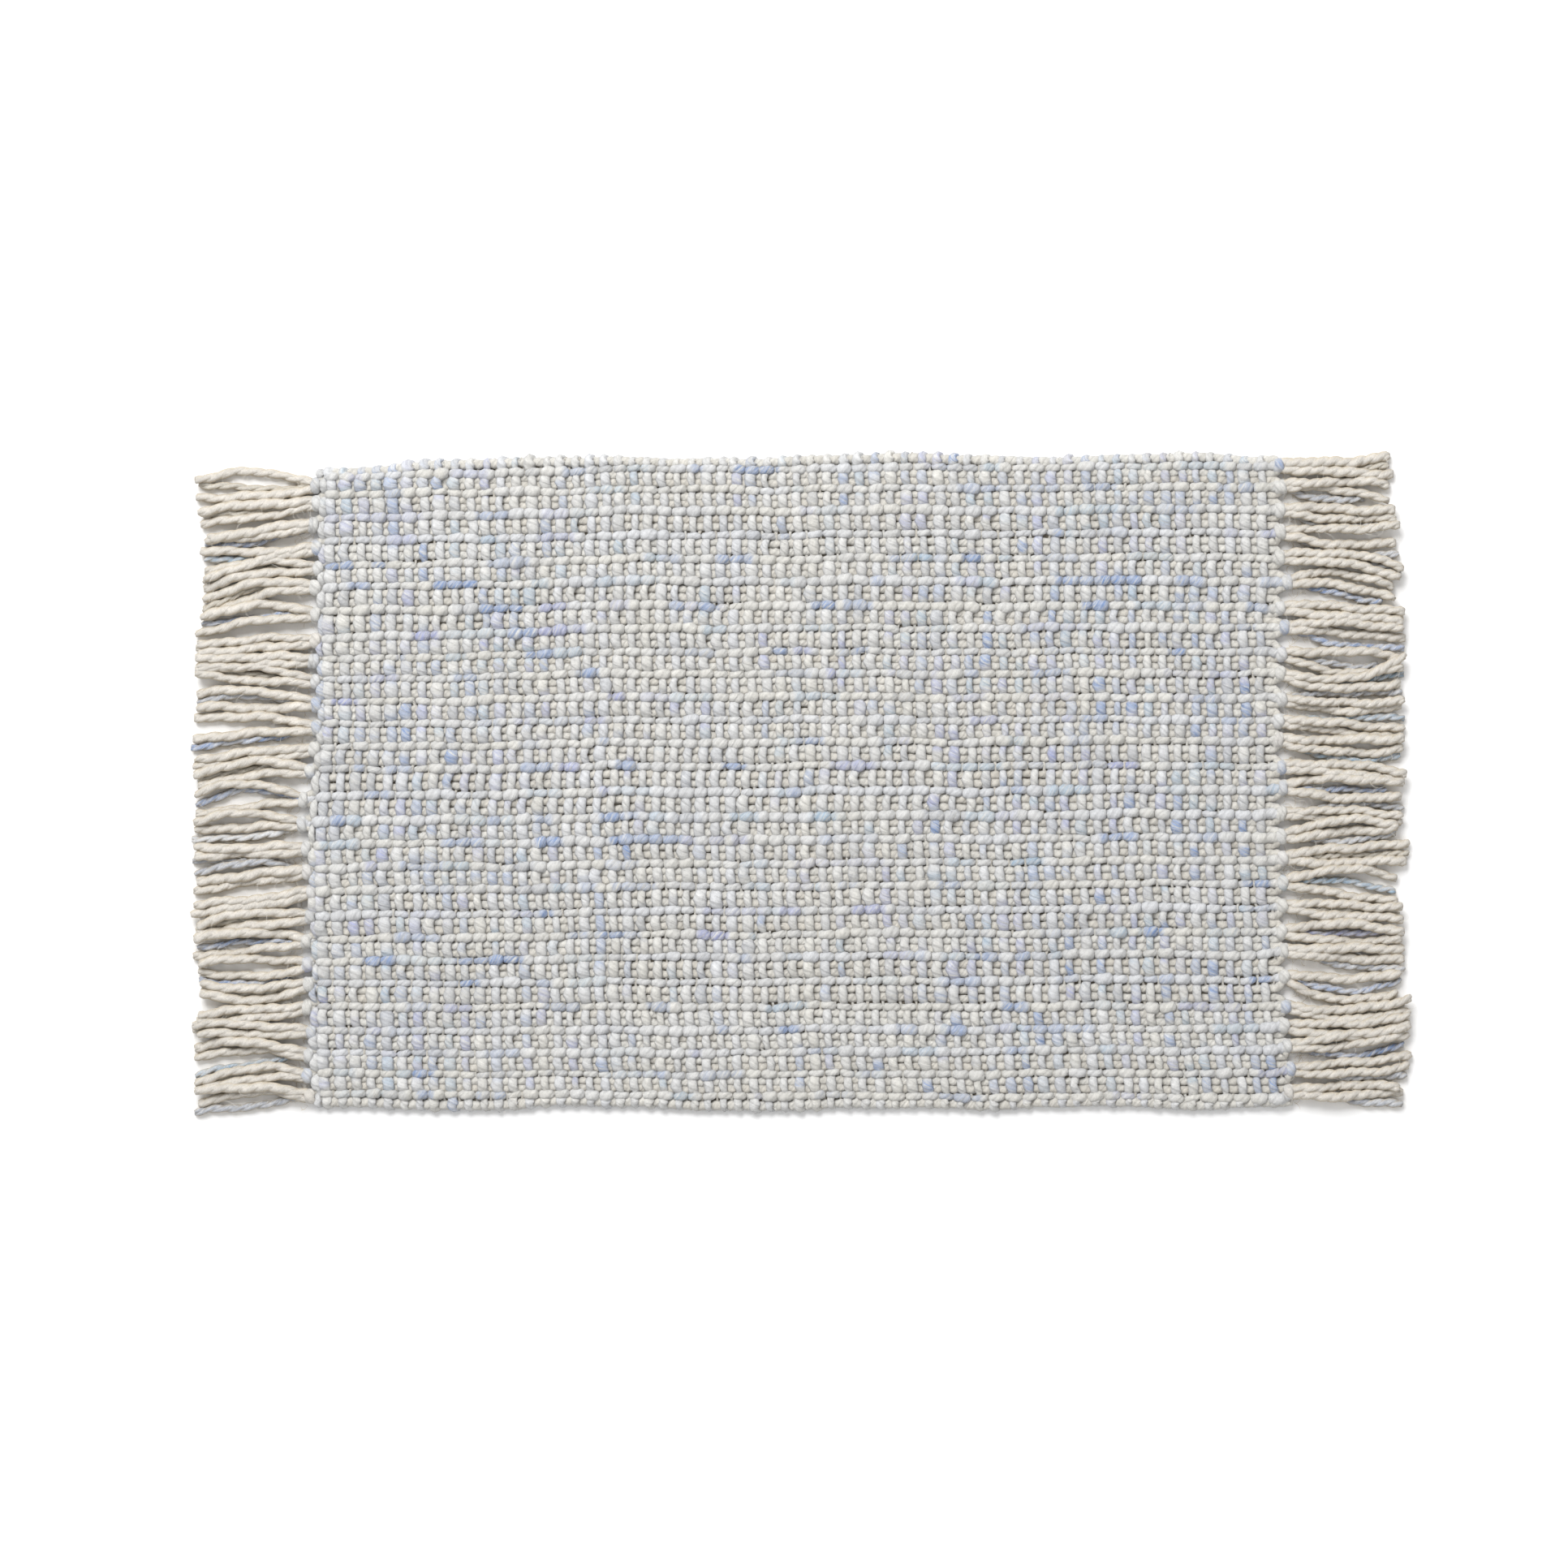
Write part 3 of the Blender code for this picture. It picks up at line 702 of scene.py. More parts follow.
def slub_paths(rng):
    """The thick rows' ways through the weave."""
    at, phase, shape = laid_out(SLUB_WAVE, np.arange(PICKS) + 0.5)
    x, y = place(at[None], (np.arange(ROW_COUNT) + 0.5)[:, None])
    size = swollen(rng, ROW_COUNT, PICKS, len(SLUB_WAVE), SLUB_FLOATS)
    for change in SLUB_CHANGES:
        size = size * (1.0 + row_lines(rng, ROW_COUNT, at, *change))
    size = np.clip(size * (1.0 + rng.normal(0.0, SLUB_DIFFERENCE, (ROW_COUNT, 1))), *SLUB_LIMITS)
    for thick in THICK_PLACES:
        row = thick.row - 1
        size[row] *= 1.0 + thick.swell * inside(x[row], thick.start, thick.end)
    x = x + row_lines(rng, ROW_COUNT, at, *SLUB_SWAY_X)
    y = y + SLUB_ROLL * np.sin(TURN * phase)
    y = y + row_lines(rng, ROW_COUNT, at, *SLUB_SWAY_Y)
    return sized(x, y, shape, size, size, (size - 1.0) * SLUB_LIFT)


def fine_paths(rng):
    """The fine pairs' ways through the weave, with the outermost yarns a little thicker."""
    at, _, shape = laid_out(FINE_WAVE, np.arange(1, PICKS + 1))
    upper = np.arange(ROW_COUNT) + PAIR_OFFSET
    lower = np.arange(1, ROW_COUNT + 1) - PAIR_OFFSET
    upper[0] = EDGE_YARN_LANE
    lower[-1] = ROW_COUNT - EDGE_YARN_LANE
    lanes = np.stack((upper, lower), axis=-1).ravel()
    x, y = place(at[None], lanes[:, None])
    size = swollen(rng, len(lanes), PICKS, len(FINE_WAVE), FINE_FLOATS)
    size[[0, -1]] *= EDGE_YARN_SIZE
    return sized(x, y + row_lines(rng, len(lanes), at, *FINE_SWAY), shape, size, size)


def tied(path, left, right):
    """Paths drawn out at both ends to where they enter their knots."""
    shares = np.array((1.0, 0.7, 0.35))[None, :, None]
    before = path[:, :1] + (left[:, None] - path[:, :1]) * shares
    after = path[:, -1:] + (right[:, None] - path[:, -1:]) * shares[:, ::-1]
    before[:, 1:, 2:] *= TIE_SWELL
    after[:, :2, 2:] *= TIE_SWELL
    return np.concatenate((before, path, after), axis=1)


def knot_entries(knots, side, section, spreads=(0.0,)):
    """Where yarns enter their knots, with the section that they have there."""
    return np.array([(knot.x - side * 1.0, knot.y + spread, BUNDLE_HEIGHT, *section)
                     for knot in knots for spread in spreads])


def turned_picks(rng, picks, middles, wave, turn, floats, lead):
    """Picks that cross the whole mat and turn round its outermost fine yarns."""
    lane, phase, shape = laid_out(wave, middles)
    first = turn[-1].lane + 0.02
    inner = (lane > first) & (lane < ROW_COUNT - first)
    ends = np.array(turn, float)
    first_lane = ends[:, 0]
    level = 0.0 * first_lane
    lane = np.concatenate((first_lane, lane[inner], ROW_COUNT - first_lane[::-1]))
    phase = np.concatenate((level, phase[inner], level))
    shape = np.concatenate((ends[:, 1:4], shape[inner], ends[::-1, 1:4]))
    drift = np.concatenate((ends[:, 4], np.zeros(inner.sum()), ends[::-1, 4]))
    x, y = place(picks[:, None] + drift, lane[None])
    on_top = np.round(lane).astype(int)
    drawn = (len(picks), ROW_COUNT + 1)
    size = np.clip(rng.normal(1.0, floats, drawn), *PICK_LIMITS)[:, on_top]
    size = size * (1.0 + rng.normal(0.0, PICK_DIFFERENCE, (len(picks), 1)))
    shift = rng.normal(lead, PICK_SHIFT, drawn)[:, on_top]
    x = x + shift * np.cos(np.pi * phase) ** 2 + PICK_ROLL * np.sin(TURN * phase)
    return sized(x, y, shape, size, np.sqrt(size))


def row_flecks(rng, x):
    """Blue flecks on the thick rows: the plain ones by the chart and faint ones at random."""
    dyes = undyed(*x.shape)
    for fleck in ROW_FLECKS:
        row = fleck.row - 1
        dye_in(dyes[row], fleck.hue, inside(x[row], fleck.start, fleck.end) * fleck.strength)
    for row, track in enumerate(x):
        add_faint_flecks(rng, dyes[row], FAINT_ROW_FLECKS, track)
    return dyes


def pick_flecks(rng, path):
    """Blue flecks on the wide picks."""
    dyes = undyed(*path.shape[:2])
    for fleck in PICK_FLECKS:
        middle = (fleck.start + fleck.end) / 2.0
        ring = np.argmin(np.abs(path[..., 1] - middle), axis=1)
        crossing = path[np.arange(len(path)), ring, 0]
        pick = np.argmin(np.abs(crossing - fleck.x))
        share = inside(path[pick, :, 1], fleck.start, fleck.end) * fleck.strength
        dye_in(dyes[pick], fleck.hue, share)
    for pick, track in enumerate(path[..., 1]):
        plain = PLAIN_PICKS[0] <= pick <= PLAIN_PICKS[1]
        add_faint_flecks(rng, dyes[pick], FAINT_PICK_FLECKS if plain else END_PICK_FLECKS, track)
    return dyes


def woven(name, block, material):
    """One object of yarns of the woven panel."""
    return new_yarns(name, [block], material, "woven_panel")


def make_lengthwise(rng, materials):
    """The slub rows, in two halves, and the fine pairs."""
    ends = ((LEFT_KNOTS, -1), (RIGHT_KNOTS, 1))
    both = (BUNDLE_SPREAD, -BUNDLE_SPREAD)
    slubs, fines = slub_paths(rng), fine_paths(rng)
    slubs = tied(slubs, *[knot_entries(knots, side, SLUB_ENTRY) for knots, side in ends])
    fines = tied(fines, *[knot_entries(knots, side, FINE_ENTRY, both) for knots, side in ends])
    pairs = len(fines)
    tints = mottled(rng, "pale", "white", slubs[0, :, 0], ROW_COUNT, 28.0, 0.3)
    dyes = row_flecks(rng, slubs[..., 0])
    fine_tints = mottled(rng, "cream", "white", fines[0, :, 0], pairs, 40.0, 0.22)
    starts = anywhere(rng, SLUB_PITCH, ROW_COUNT)
    fine_starts = anywhere(rng, FINE_PITCH, pairs)
    half = ROW_COUNT // 2
    made = []
    for name, rows in (("slub_rows_back", slice(0, half)), ("slub_rows_front", slice(half, None))):
        block = yarn_block(slubs[rows], tints[rows], dyes[rows], SLUB_SIDES, SLUB_PITCH, SLUB_LOBES,
                           start=starts[rows])
        made.append(woven(name, block, materials["slub"]))
    block = yarn_block(fines, fine_tints, undyed(*fines.shape[:2]), FINE_SIDES, FINE_PITCH,
                       FINE_LOBES, start=fine_starts)
    return made + [woven("fine_pairs", block, materials["fine"])]


def make_picks(rng, material):
    """The wide and the narrow picks. The wide ones are wider towards the left end."""
    at = np.concatenate(((0.0,), np.arange(PICKS) + 0.5))
    wide = turned_picks(rng, at, np.arange(1, ROW_COUNT), WIDE_WAVE, WIDE_TURN, WIDE_FLOATS,
                        WIDE_LEAD)
    swell = 1.0 + END_SWELL * np.clip(1.0 - at / END_SWELL_PICKS, 0.0, 1.0)
    swell[0] = FIRST_PICK_SIZE
    wide[..., 3] *= swell[:, None]
    tints = mottled(rng, "white", "pale", -wide[0, :, 1], len(wide), 60.0, 0.25)
    starts = anywhere(rng, PICK_PITCH, len(wide))
    block = yarn_block(wide, tints, pick_flecks(rng, wide), WIDE_SIDES, PICK_PITCH, PICK_LOBES,
                       start=starts)
    made = woven("wide_picks", block, material)
    narrow = turned_picks(rng, np.arange(1.0, PICKS + 1), np.arange(ROW_COUNT) + 0.5, NARROW_WAVE,
                          NARROW_TURN, NARROW_FLOATS, NARROW_LEAD)
    tints = mottled(rng, "white", "cream", -narrow[0, :, 1], PICKS, 60.0, 0.35)
    block = yarn_block(narrow, tints, undyed(*narrow.shape[:2]), NARROW_SIDES, PICK_PITCH,
                       start=starts[1:])
    return [made, woven("narrow_picks", block, material)]


# Knots and loose ends

def settled(paths, halves, order):
    """The heights at which ends rest on the floor, or on those that were laid down before."""
    heights = np.zeros_like(paths)
    laid = []
    for k in order:
        rest = np.full(paths.shape[1], halves[k])
        for other in laid:
            reach = (halves[k] + halves[other]) * PRESS
            gap = np.abs(paths[k] - paths[other])
            over = np.sqrt(np.clip(reach ** 2 - gap ** 2, 0.0, None))
            rest = np.where(gap < reach, np.maximum(rest, heights[other] + over), rest)
        rest = np.minimum(rest, HIGHEST_END)
        padded = np.concatenate((rest[:1], rest[:1], rest, rest[-1:], rest[-1:]))
        smooth = np.convolve(padded, np.ones(5) / 5.0, mode="valid")
        heights[k] = np.maximum(smooth, halves[k])
        laid.append(k)
    return heights


def through(start, middle, end, share):
    """The curve that passes start, middle and end at the shares 0, 0.5 and 1."""
    pull = 2.0 * middle - (start + end) / 2.0
    return ((1.0 - share) ** 2)[None] * start[:, None] + (
        2.0 * share * (1.0 - share))[None] * pull[:, None] + (share ** 2)[None] * end[:, None]


LooseEnd = namedtuple("LooseEnd", "knot spread mid tip part hue core")


def ends_of(knots):
    """The three loose ends of each knot: the upper one, the core and the lower one."""
    return [LooseEnd(knot, *role) for knot in knots for role in (
        (BUNDLE_SPREAD, knot.upper_mid, knot.upper_tip, 1.0, "ecru", False),
        (0.0, knot.core_mid, knot.core_tip, knot.core_part, knot.core_hue, True),
        (-BUNDLE_SPREAD, knot.lower_mid, knot.lower_tip, 1.0, "ecru", False))]


def loose_ends(rng, ends, side, twist):
    """The middle lines of loose ends: x, y and z."""
    share = np.linspace(0.0, 1.0, END_RINGS)
    start_x = np.array([end.knot.x for end in ends])
    reach = np.array([(side * end.knot.tip - end.knot.x) * end.part for end in ends])
    tip_x = start_x + reach + side * rng.uniform(*TIP_REACH, len(ends))
    x = start_x[:, None] + (tip_x - start_x)[:, None] * share
    y = through(*(np.array([end.knot.y + getattr(end, place) for end in ends])
                  for place in ("spread", "mid", "tip")), share)
    waves = anywhere(rng, TURN, len(ends))
    sway = sum(size * np.sin(phase * waves + x / length) for size, phase, length in END_SWAY)
    y = y + sway * np.clip(share * 5.0, 0.0, 1.0)
    halves = np.array([twist.core_ply + twist.core_orbit if end.core else twist.ply + twist.orbit
                       for end in ends])
    order = [k for first in (1, 2, 0) for k in range(first, len(ends), 3)]
    z = settled(y, halves, order)
    come_down = np.clip(share / LEAVE, 0.0, 1.0)
    come_down = come_down * come_down * (3.0 - 2.0 * come_down)
    z = BUNDLE_HEIGHT * (1.0 - come_down) + z * come_down
    return np.stack((x, y, z), axis=-1)


def plied_ends(rng, middle_lines, ends, side, twist):
    """Two plies round the middle line of each loose end."""
    share = np.linspace(0.0, 1.0, END_RINGS)
    count = len(ends)
    pitches = twist.pitch * rng.uniform(*PITCH_SHARES, (count, 1))
    turn = anywhere(rng, TURN, count)
    cores = np.array([end.core for end in ends])[:, None]
    ply = np.where(cores, twist.core_ply, twist.ply)
    orbit = np.where(cores, twist.core_orbit, twist.orbit)
    untwist = np.clip((share - (1.0 - OPEN_TIP)) / OPEN_TIP, 0.0, 1.0)
    angle = turn - TURN * middle_lines[..., 0] / pitches
    bundle = np.clip(share / (LEAVE * 0.6), 0.0, 1.0)
    out = orbit * (0.55 + 0.45 * bundle) * (1.0 + 0.25 * untwist)
    thick = ply * (1.0 + rng.normal(0.0, PLY_DIFFERENCE, (count, 1))) * (1.0 - 0.12 * untwist)
    tints = np.array([HUES[end.hue if end.hue in ("ecru", "cream") else "pale"] for end in ends])
    blocks = []
    for phase in (0.0, np.pi):
        y = middle_lines[..., 1] + out * np.cos(angle + phase)
        z = middle_lines[..., 2] + out * np.sin(angle + phase)
        wide = thick * (1.0 + row_lines(rng, count, share, *PLY_CHANGE))
        path = np.stack((middle_lines[..., 0], y, np.maximum(z, wide * 0.95), wide, wide), axis=-1)
        path[:, -1, 3:] *= TIP_SIZE
        light = 1.0 + row_lines(rng, count, share, *PLY_LIGHT)
        dyes = undyed(count, END_RINGS)
        for dye, end in zip(dyes, ends):
            if end.hue not in ("ecru", "cream", "white"):
                # The cores' strong dye is partly their own colour, partly painted shade, as they lie
                # lowest under the other ends.
                dye_in(dye, end.hue, np.clip(0.75 + wander(rng, share, 0.12, 0.25), 0.2, 1.0))
        blocks.append(yarn_block(
            path[:, ::-1] if side < 0 else path, tints[:, None] * light[..., None], dyes, END_SIDES,
            twist.pitch * 0.6, lean=1.0, start=anywhere(rng, twist.pitch, count)))
    return blocks


def knot_wraps(rng, knots):
    """The slub yarn's turn round each bundle."""
    share = np.linspace(0.0, 1.0, WRAP_RINGS)
    paths, tints = [], []
    dyes = undyed(len(knots), WRAP_RINGS)
    for knot, dye in zip(knots, dyes):
        turns = rng.choice(WRAP_TURNS, p=WRAP_CHANCES)
        double = turns == WRAP_TURNS[-1]
        width = WRAP_HALF_WIDTH * (DOUBLE_WRAP_SIZE if double else 1.0) * rng.uniform(0.9, 1.1)
        slant = rng.uniform(0.4, 2.2) + (DOUBLE_WRAP_SLANT if double else 0.0)
        angle = -0.5 * np.pi - 0.2 + TURN * turns * share
        size = rng.uniform(0.95, 1.12)
        x = knot.x - 0.8 * np.sign(knot.x) + slant * (share - 0.5) * rng.choice((-1.0, 1.0))
        y = knot.y + WRAP_RADIUS_Y * size * np.cos(angle)
        z = BUNDLE_HEIGHT + WRAP_LIFT + WRAP_RADIUS_Z * np.sin(angle)
        wide = width * (1.0 + wander(rng, share, *WRAP_CHANGE))
        paths.append(np.stack((x, y, z, np.full(WRAP_RINGS, WRAP_HALF_HEIGHT), wide), axis=-1))
        base = HUES["ecru" if knot.hue == "cream" else "white"]
        tints.append(blended(base, HUES["pale"], rng.uniform(0.0, 0.6)))
        if knot.hue not in ("cream", "white"):
            dye_in(dye, knot.hue, np.clip(0.4 + wander(rng, share, 0.2, 0.3), 0.05, 0.8))
    tints = np.broadcast_to(np.array(tints)[:, None], (len(knots), WRAP_RINGS, 3))
    return yarn_block(np.array(paths), tints, dyes, WRAP_SIDES, SLUB_PITCH, SLUB_LOBES,
                      reference=ALONG, lean=1.0, start=anywhere(rng, SLUB_PITCH, len(knots)))


def stray_fibres(rng, starts, headings, shortest, longest, hue="fibre"):
    """Fine curling fibres that stand out from yarns, from their starts towards the headings."""
    count = len(starts)
    share = np.linspace(0.0, 1.0, FIBRE_RINGS)[None]
    length = rng.uniform(shortest, longest, (count, 1)) * share
    heading = (headings + rng.normal(0.0, FIBRE_SPREAD, count))[:, None]
    curl = rng.normal(0.0, FIBRE_CURL, (count, 1)) * share
    rise = anywhere(rng, FIBRE_RISE, count) * longest * share * (1.0 - share)
    x = starts[:, :1] + length * np.cos(heading + curl)
    y = starts[:, 1:2] + length * np.sin(heading + curl)
    z = np.maximum(starts[:, 2:] + rise * rng.choice((-0.6, 1.0), (count, 1)), FIBRE_HALF * 2.0)
    half = FIBRE_HALF * rng.uniform(0.7, 1.3, (count, 1)) * (1.0 - 0.5 * share)
    tints = np.broadcast_to(HUES[hue], (count, FIBRE_RINGS, 3))
    return yarn_block(np.stack((x, y, z, half, half), axis=-1), tints, undyed(count, FIBRE_RINGS),
                      FIBRE_SIDES, FINE_PITCH, lean=1.0)


def fringe_fibres(rng, middle_lines, ends, side, twist):
    """Stray fibres along the loose ends, more of them near the knots, and frayed tips."""
    end = rng.integers(0, len(ends), FRINGE_FIBRES)
    ring = (rng.uniform(0.0, 1.0, FRINGE_FIBRES) ** 1.5 * (END_RINGS - 1)).astype(int)
    angle = rng.uniform(-0.1, 1.1, FRINGE_FIBRES) * np.pi
    plies = np.array([twist.core_ply if loose.core else twist.ply for loose in ends])
    reach = plies[end] + 0.3
    starts = middle_lines[end, ring] + np.stack(
        (0.0 * angle, reach * np.cos(angle), reach * np.sin(angle)), axis=-1)
    outward = 0.0 if side > 0 else np.pi
    headings = outward + rng.normal(0.0, 0.6, FRINGE_FIBRES)
    along = stray_fibres(rng, starts, headings, 3.0, 12.0)
    # Dark fuzz by each knot: partly real fuzz, partly painted shade in the gaps between the knots.
    knot = np.repeat(middle_lines[1::3, 3], FUZZ_AND_SHADE_FIBRES, axis=0)
    spread = rng.normal(0.0, 1.0, knot.shape) * (3.5, 6.0, 0.0)
    spread[:, 2] = rng.uniform(0.4, 3.0, len(knot)) - knot[:, 2]
    fuzz_and_painted_shade = stray_fibres(rng, knot + spread, rng.uniform(0.0, TURN, len(knot)), 3.0, 8.0, "jute")
    tips = np.repeat(middle_lines[:, -2], TIP_FIBRES, axis=0)
    tips = tips + rng.normal(0.0, 1.3, tips.shape)
    return [along, fuzz_and_painted_shade, stray_fibres(rng, tips, np.full(len(tips), outward), 3.0, 7.0)]


def make_weave_fibres(rng, material):
    """Stray fibres over the woven panel and its long edges."""
    pick = rng.uniform(0.3, PICKS, WEAVE_FIBRES)
    lane = rng.uniform(-0.02, ROW_COUNT + 0.02, WEAVE_FIBRES)
    x, y = place(pick, lane)
    starts = np.stack((x, y, rng.uniform(7.0, 9.3, WEAVE_FIBRES)), axis=-1)
    headings = rng.uniform(0.0, TURN, WEAVE_FIBRES)
    fibres = stray_fibres(rng, starts, headings, 3.0, 10.0)
    return new_yarns("weave_fibres", [fibres], material, "woven_panel", smooth=False)


def make_fringe(rng, name, knots, side, twist, node, materials):
    """One end's knots and loose yarn ends."""
    ends = ends_of(knots)
    lines = loose_ends(rng, ends, side, twist)
    yarn = plied_ends(rng, lines, ends, side, twist)
    wraps = [knot_wraps(rng, knots)]
    fibres = fringe_fibres(rng, lines, ends, side, twist)
    return [new_yarns(f"{name}_{part}", blocks, materials[look], node, smooth)
            for part, blocks, look, smooth in (("knots", wraps, "knot", True),
                                               ("fibres", fibres, "fibre", False),
                                               ("yarn", yarn, "fringe", True))]


# The cloth's body between the yarns, coloured dark as painted shade

GROUND_HEIGHT = 3.6
GROUND_THICKNESS = 0.8
GROUND_INSET_LANES = 0.25
GROUND_FIRST_PICK = 0.4


def make_ground(material):
    """The thin body of matted fibre half-way through the cloth, in which the yarns bed; its dark colour
    is painted shade in the gaps.
    """
    bm = bmesh.new()
    bmesh.ops.create_grid(bm, x_segments=PICKS, y_segments=ROW_COUNT, size=1.0)
    for vert in bm.verts:
        pick = GROUND_FIRST_PICK + (vert.co.x + 1.0) / 2.0 * (PICKS - GROUND_FIRST_PICK)
        lane = ROW_COUNT / 2.0 - vert.co.y * (ROW_COUNT / 2.0 - GROUND_INSET_LANES)
        x, y = place(np.float64(pick), np.float64(lane))
        vert.co = float(x) * MM, float(y) * MM, GROUND_HEIGHT * MM
    bmesh.ops.solidify(bm, geom=bm.faces[:], thickness=GROUND_THICKNESS * MM)
    bmesh.ops.recalc_face_normals(bm, faces=bm.faces)
    mesh = bpy.data.meshes.new("weave_ground")
    bm.to_mesh(mesh)
    bm.free()
    mesh.materials.append(material)
    obj = bpy.data.objects.new("weave_ground", mesh)
    bpy.context.scene.collection.objects.link(obj)
    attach(obj, "root")
    return obj


# Materials. A look's pitch is that of its twist, fibres go round it, and its painted shade is
# the hue mixed into the yarn's flanks that face down and to the sides, where less light falls.

Look = namedtuple("Look", "pitch ply_depth groove_shade fibres flank flank_share")
LOOKS = {
    "slub": Look(SLUB_PITCH, 0.5, 0.08, 22.0, "flank", 0.5),
    "fine": Look(FINE_PITCH, 0.5, 0.10, 18.0, "flank", 0.4),
    "pick": Look(PICK_PITCH, 0.5, 0.10, 16.0, "flank", 0.5),
    "knot": Look(SLUB_PITCH, 0.6, 0.10, 22.0, "flank", 0.1),
    # the loose ends' flanks get strong painted shade in jute brown
    "fringe": Look(LEFT_TWIST.pitch, 0.1, 0.05, 22.0, "jute", 1.5),
}
MATTE = {"Roughness": 0.95, "Specular IOR Level": 0.15, "Sheen Weight": 0.25, "Sheen Roughness": 0.45}
GROOVE_SHARPNESS = 3.0
FIBRE_SCALE = 220.0     # noise to the metre: drawn-out fibres, dyed streaks, felt and patches
STREAK_SCALE = 160.0
FELT_SCALE = 800.0
PATCH_SCALE = 90.0
# The fibre noise paints the fibres' own tone, partly as painted highlights and painted shade.
FIBRE_LIGHT = (0.8, 0.65)   # how much each noise adds to the light, and the least light
FELT_LIGHT = (0.5, 0.75)
PATCH_LIGHT = (0.24, 0.88)
FIBRE_RELIEF = 1.0      # in millimetres, as the depth of the plies is
FELT_RELIEF = 0.45


def add_node(tree, kind, inputs=None, **settings):
    """A new shader node. Its inputs are numbers, colours or other nodes' outputs."""
    node = tree.nodes.new(kind)
    for key, value in settings.items():
        setattr(node, key, value)
    for socket, value in (inputs or {}).items():
        if isinstance(value, bpy.types.NodeSocket):
            tree.links.new(value, node.inputs[socket])
        elif value is not None:
            node.inputs[socket].default_value = value
    return node


def sums(tree, operation, *values):
    """The outcome of a sum with numbers or other nodes' outputs."""
    return add_node(tree, "ShaderNodeMath", dict(enumerate(values)), operation=operation).outputs[0]


def noise(tree, vector, scale, detail=2.0, roughness=0.5, distortion=0.0):
    """A noise texture's value."""
    return add_node(tree, "ShaderNodeTexNoise", {
        "Vector": vector, "Scale": scale, "Detail": detail, "Roughness": roughness,
        "Distortion": distortion}).outputs["Fac"]


def attribute(tree, name):
    """The colour and the fourth value that the points of a mesh carry."""
    return add_node(tree, "ShaderNodeAttribute", attribute_name=name).outputs


def position(tree):
    """The place on the object."""
    return add_node(tree, "ShaderNodeTexCoord").outputs["Object"]


def mixed(tree, share, first, second):
    """A colour between two others."""
    return add_node(tree, "ShaderNodeMix", {0: share, 6: first, 7: second},
                    data_type="RGBA").outputs[2]


def lit(tree, colour, light):
    """A colour made lighter or darker."""
    return add_node(tree, "ShaderNodeVectorMath", {0: colour, "Scale": light},
                    operation="SCALE").outputs[0]


def ramp(tree, value, dark, pale):
    """A colour between a dark and a pale one."""
    node = add_node(tree, "ShaderNodeValToRGB", {0: value})
    for element, colour in zip(node.color_ramp.elements, (dark, pale)):
        element.color = (*colour, 1.0)
    return node.outputs[0]


def add_bump(tree, shader, height, distance, strength):
    """Small relief on a surface."""
    node = add_node(tree, "ShaderNodeBump", {"Distance": distance, "Strength": strength,
                                             "Height": height})
    tree.links.new(node.outputs[0], shader.inputs["Normal"])


def new_material(name):
    """A matte material, and its node tree and shader."""
    material = bpy.data.materials.new(name)
    material.use_nodes = True
    shader = material.node_tree.nodes["Principled BSDF"]
    for socket, value in MATTE.items():
        shader.inputs[socket].default_value = value
    return material, material.node_tree, shader


def ramped(tree, value, low, high):
    """A smooth step from 0 to 1 as a value goes from low to high."""
    return add_node(tree, "ShaderNodeMapRange", {"From Min": low, "From Max": high, "Value": value},
                    interpolation_type="SMOOTHSTEP").outputs["Result"]


def strand_noise(tree, along, turn, per_metre, around, detail, roughness):
    """Noise drawn out along a yarn's twisted fibres."""
    at = add_node(tree, "ShaderNodeCombineXYZ", {0: sums(tree, "MULTIPLY", along, per_metre),
                                                 1: sums(tree, "MULTIPLY", turn, around)})
    return noise(tree, at.outputs[0], 1.0, detail, roughness, 0.7)


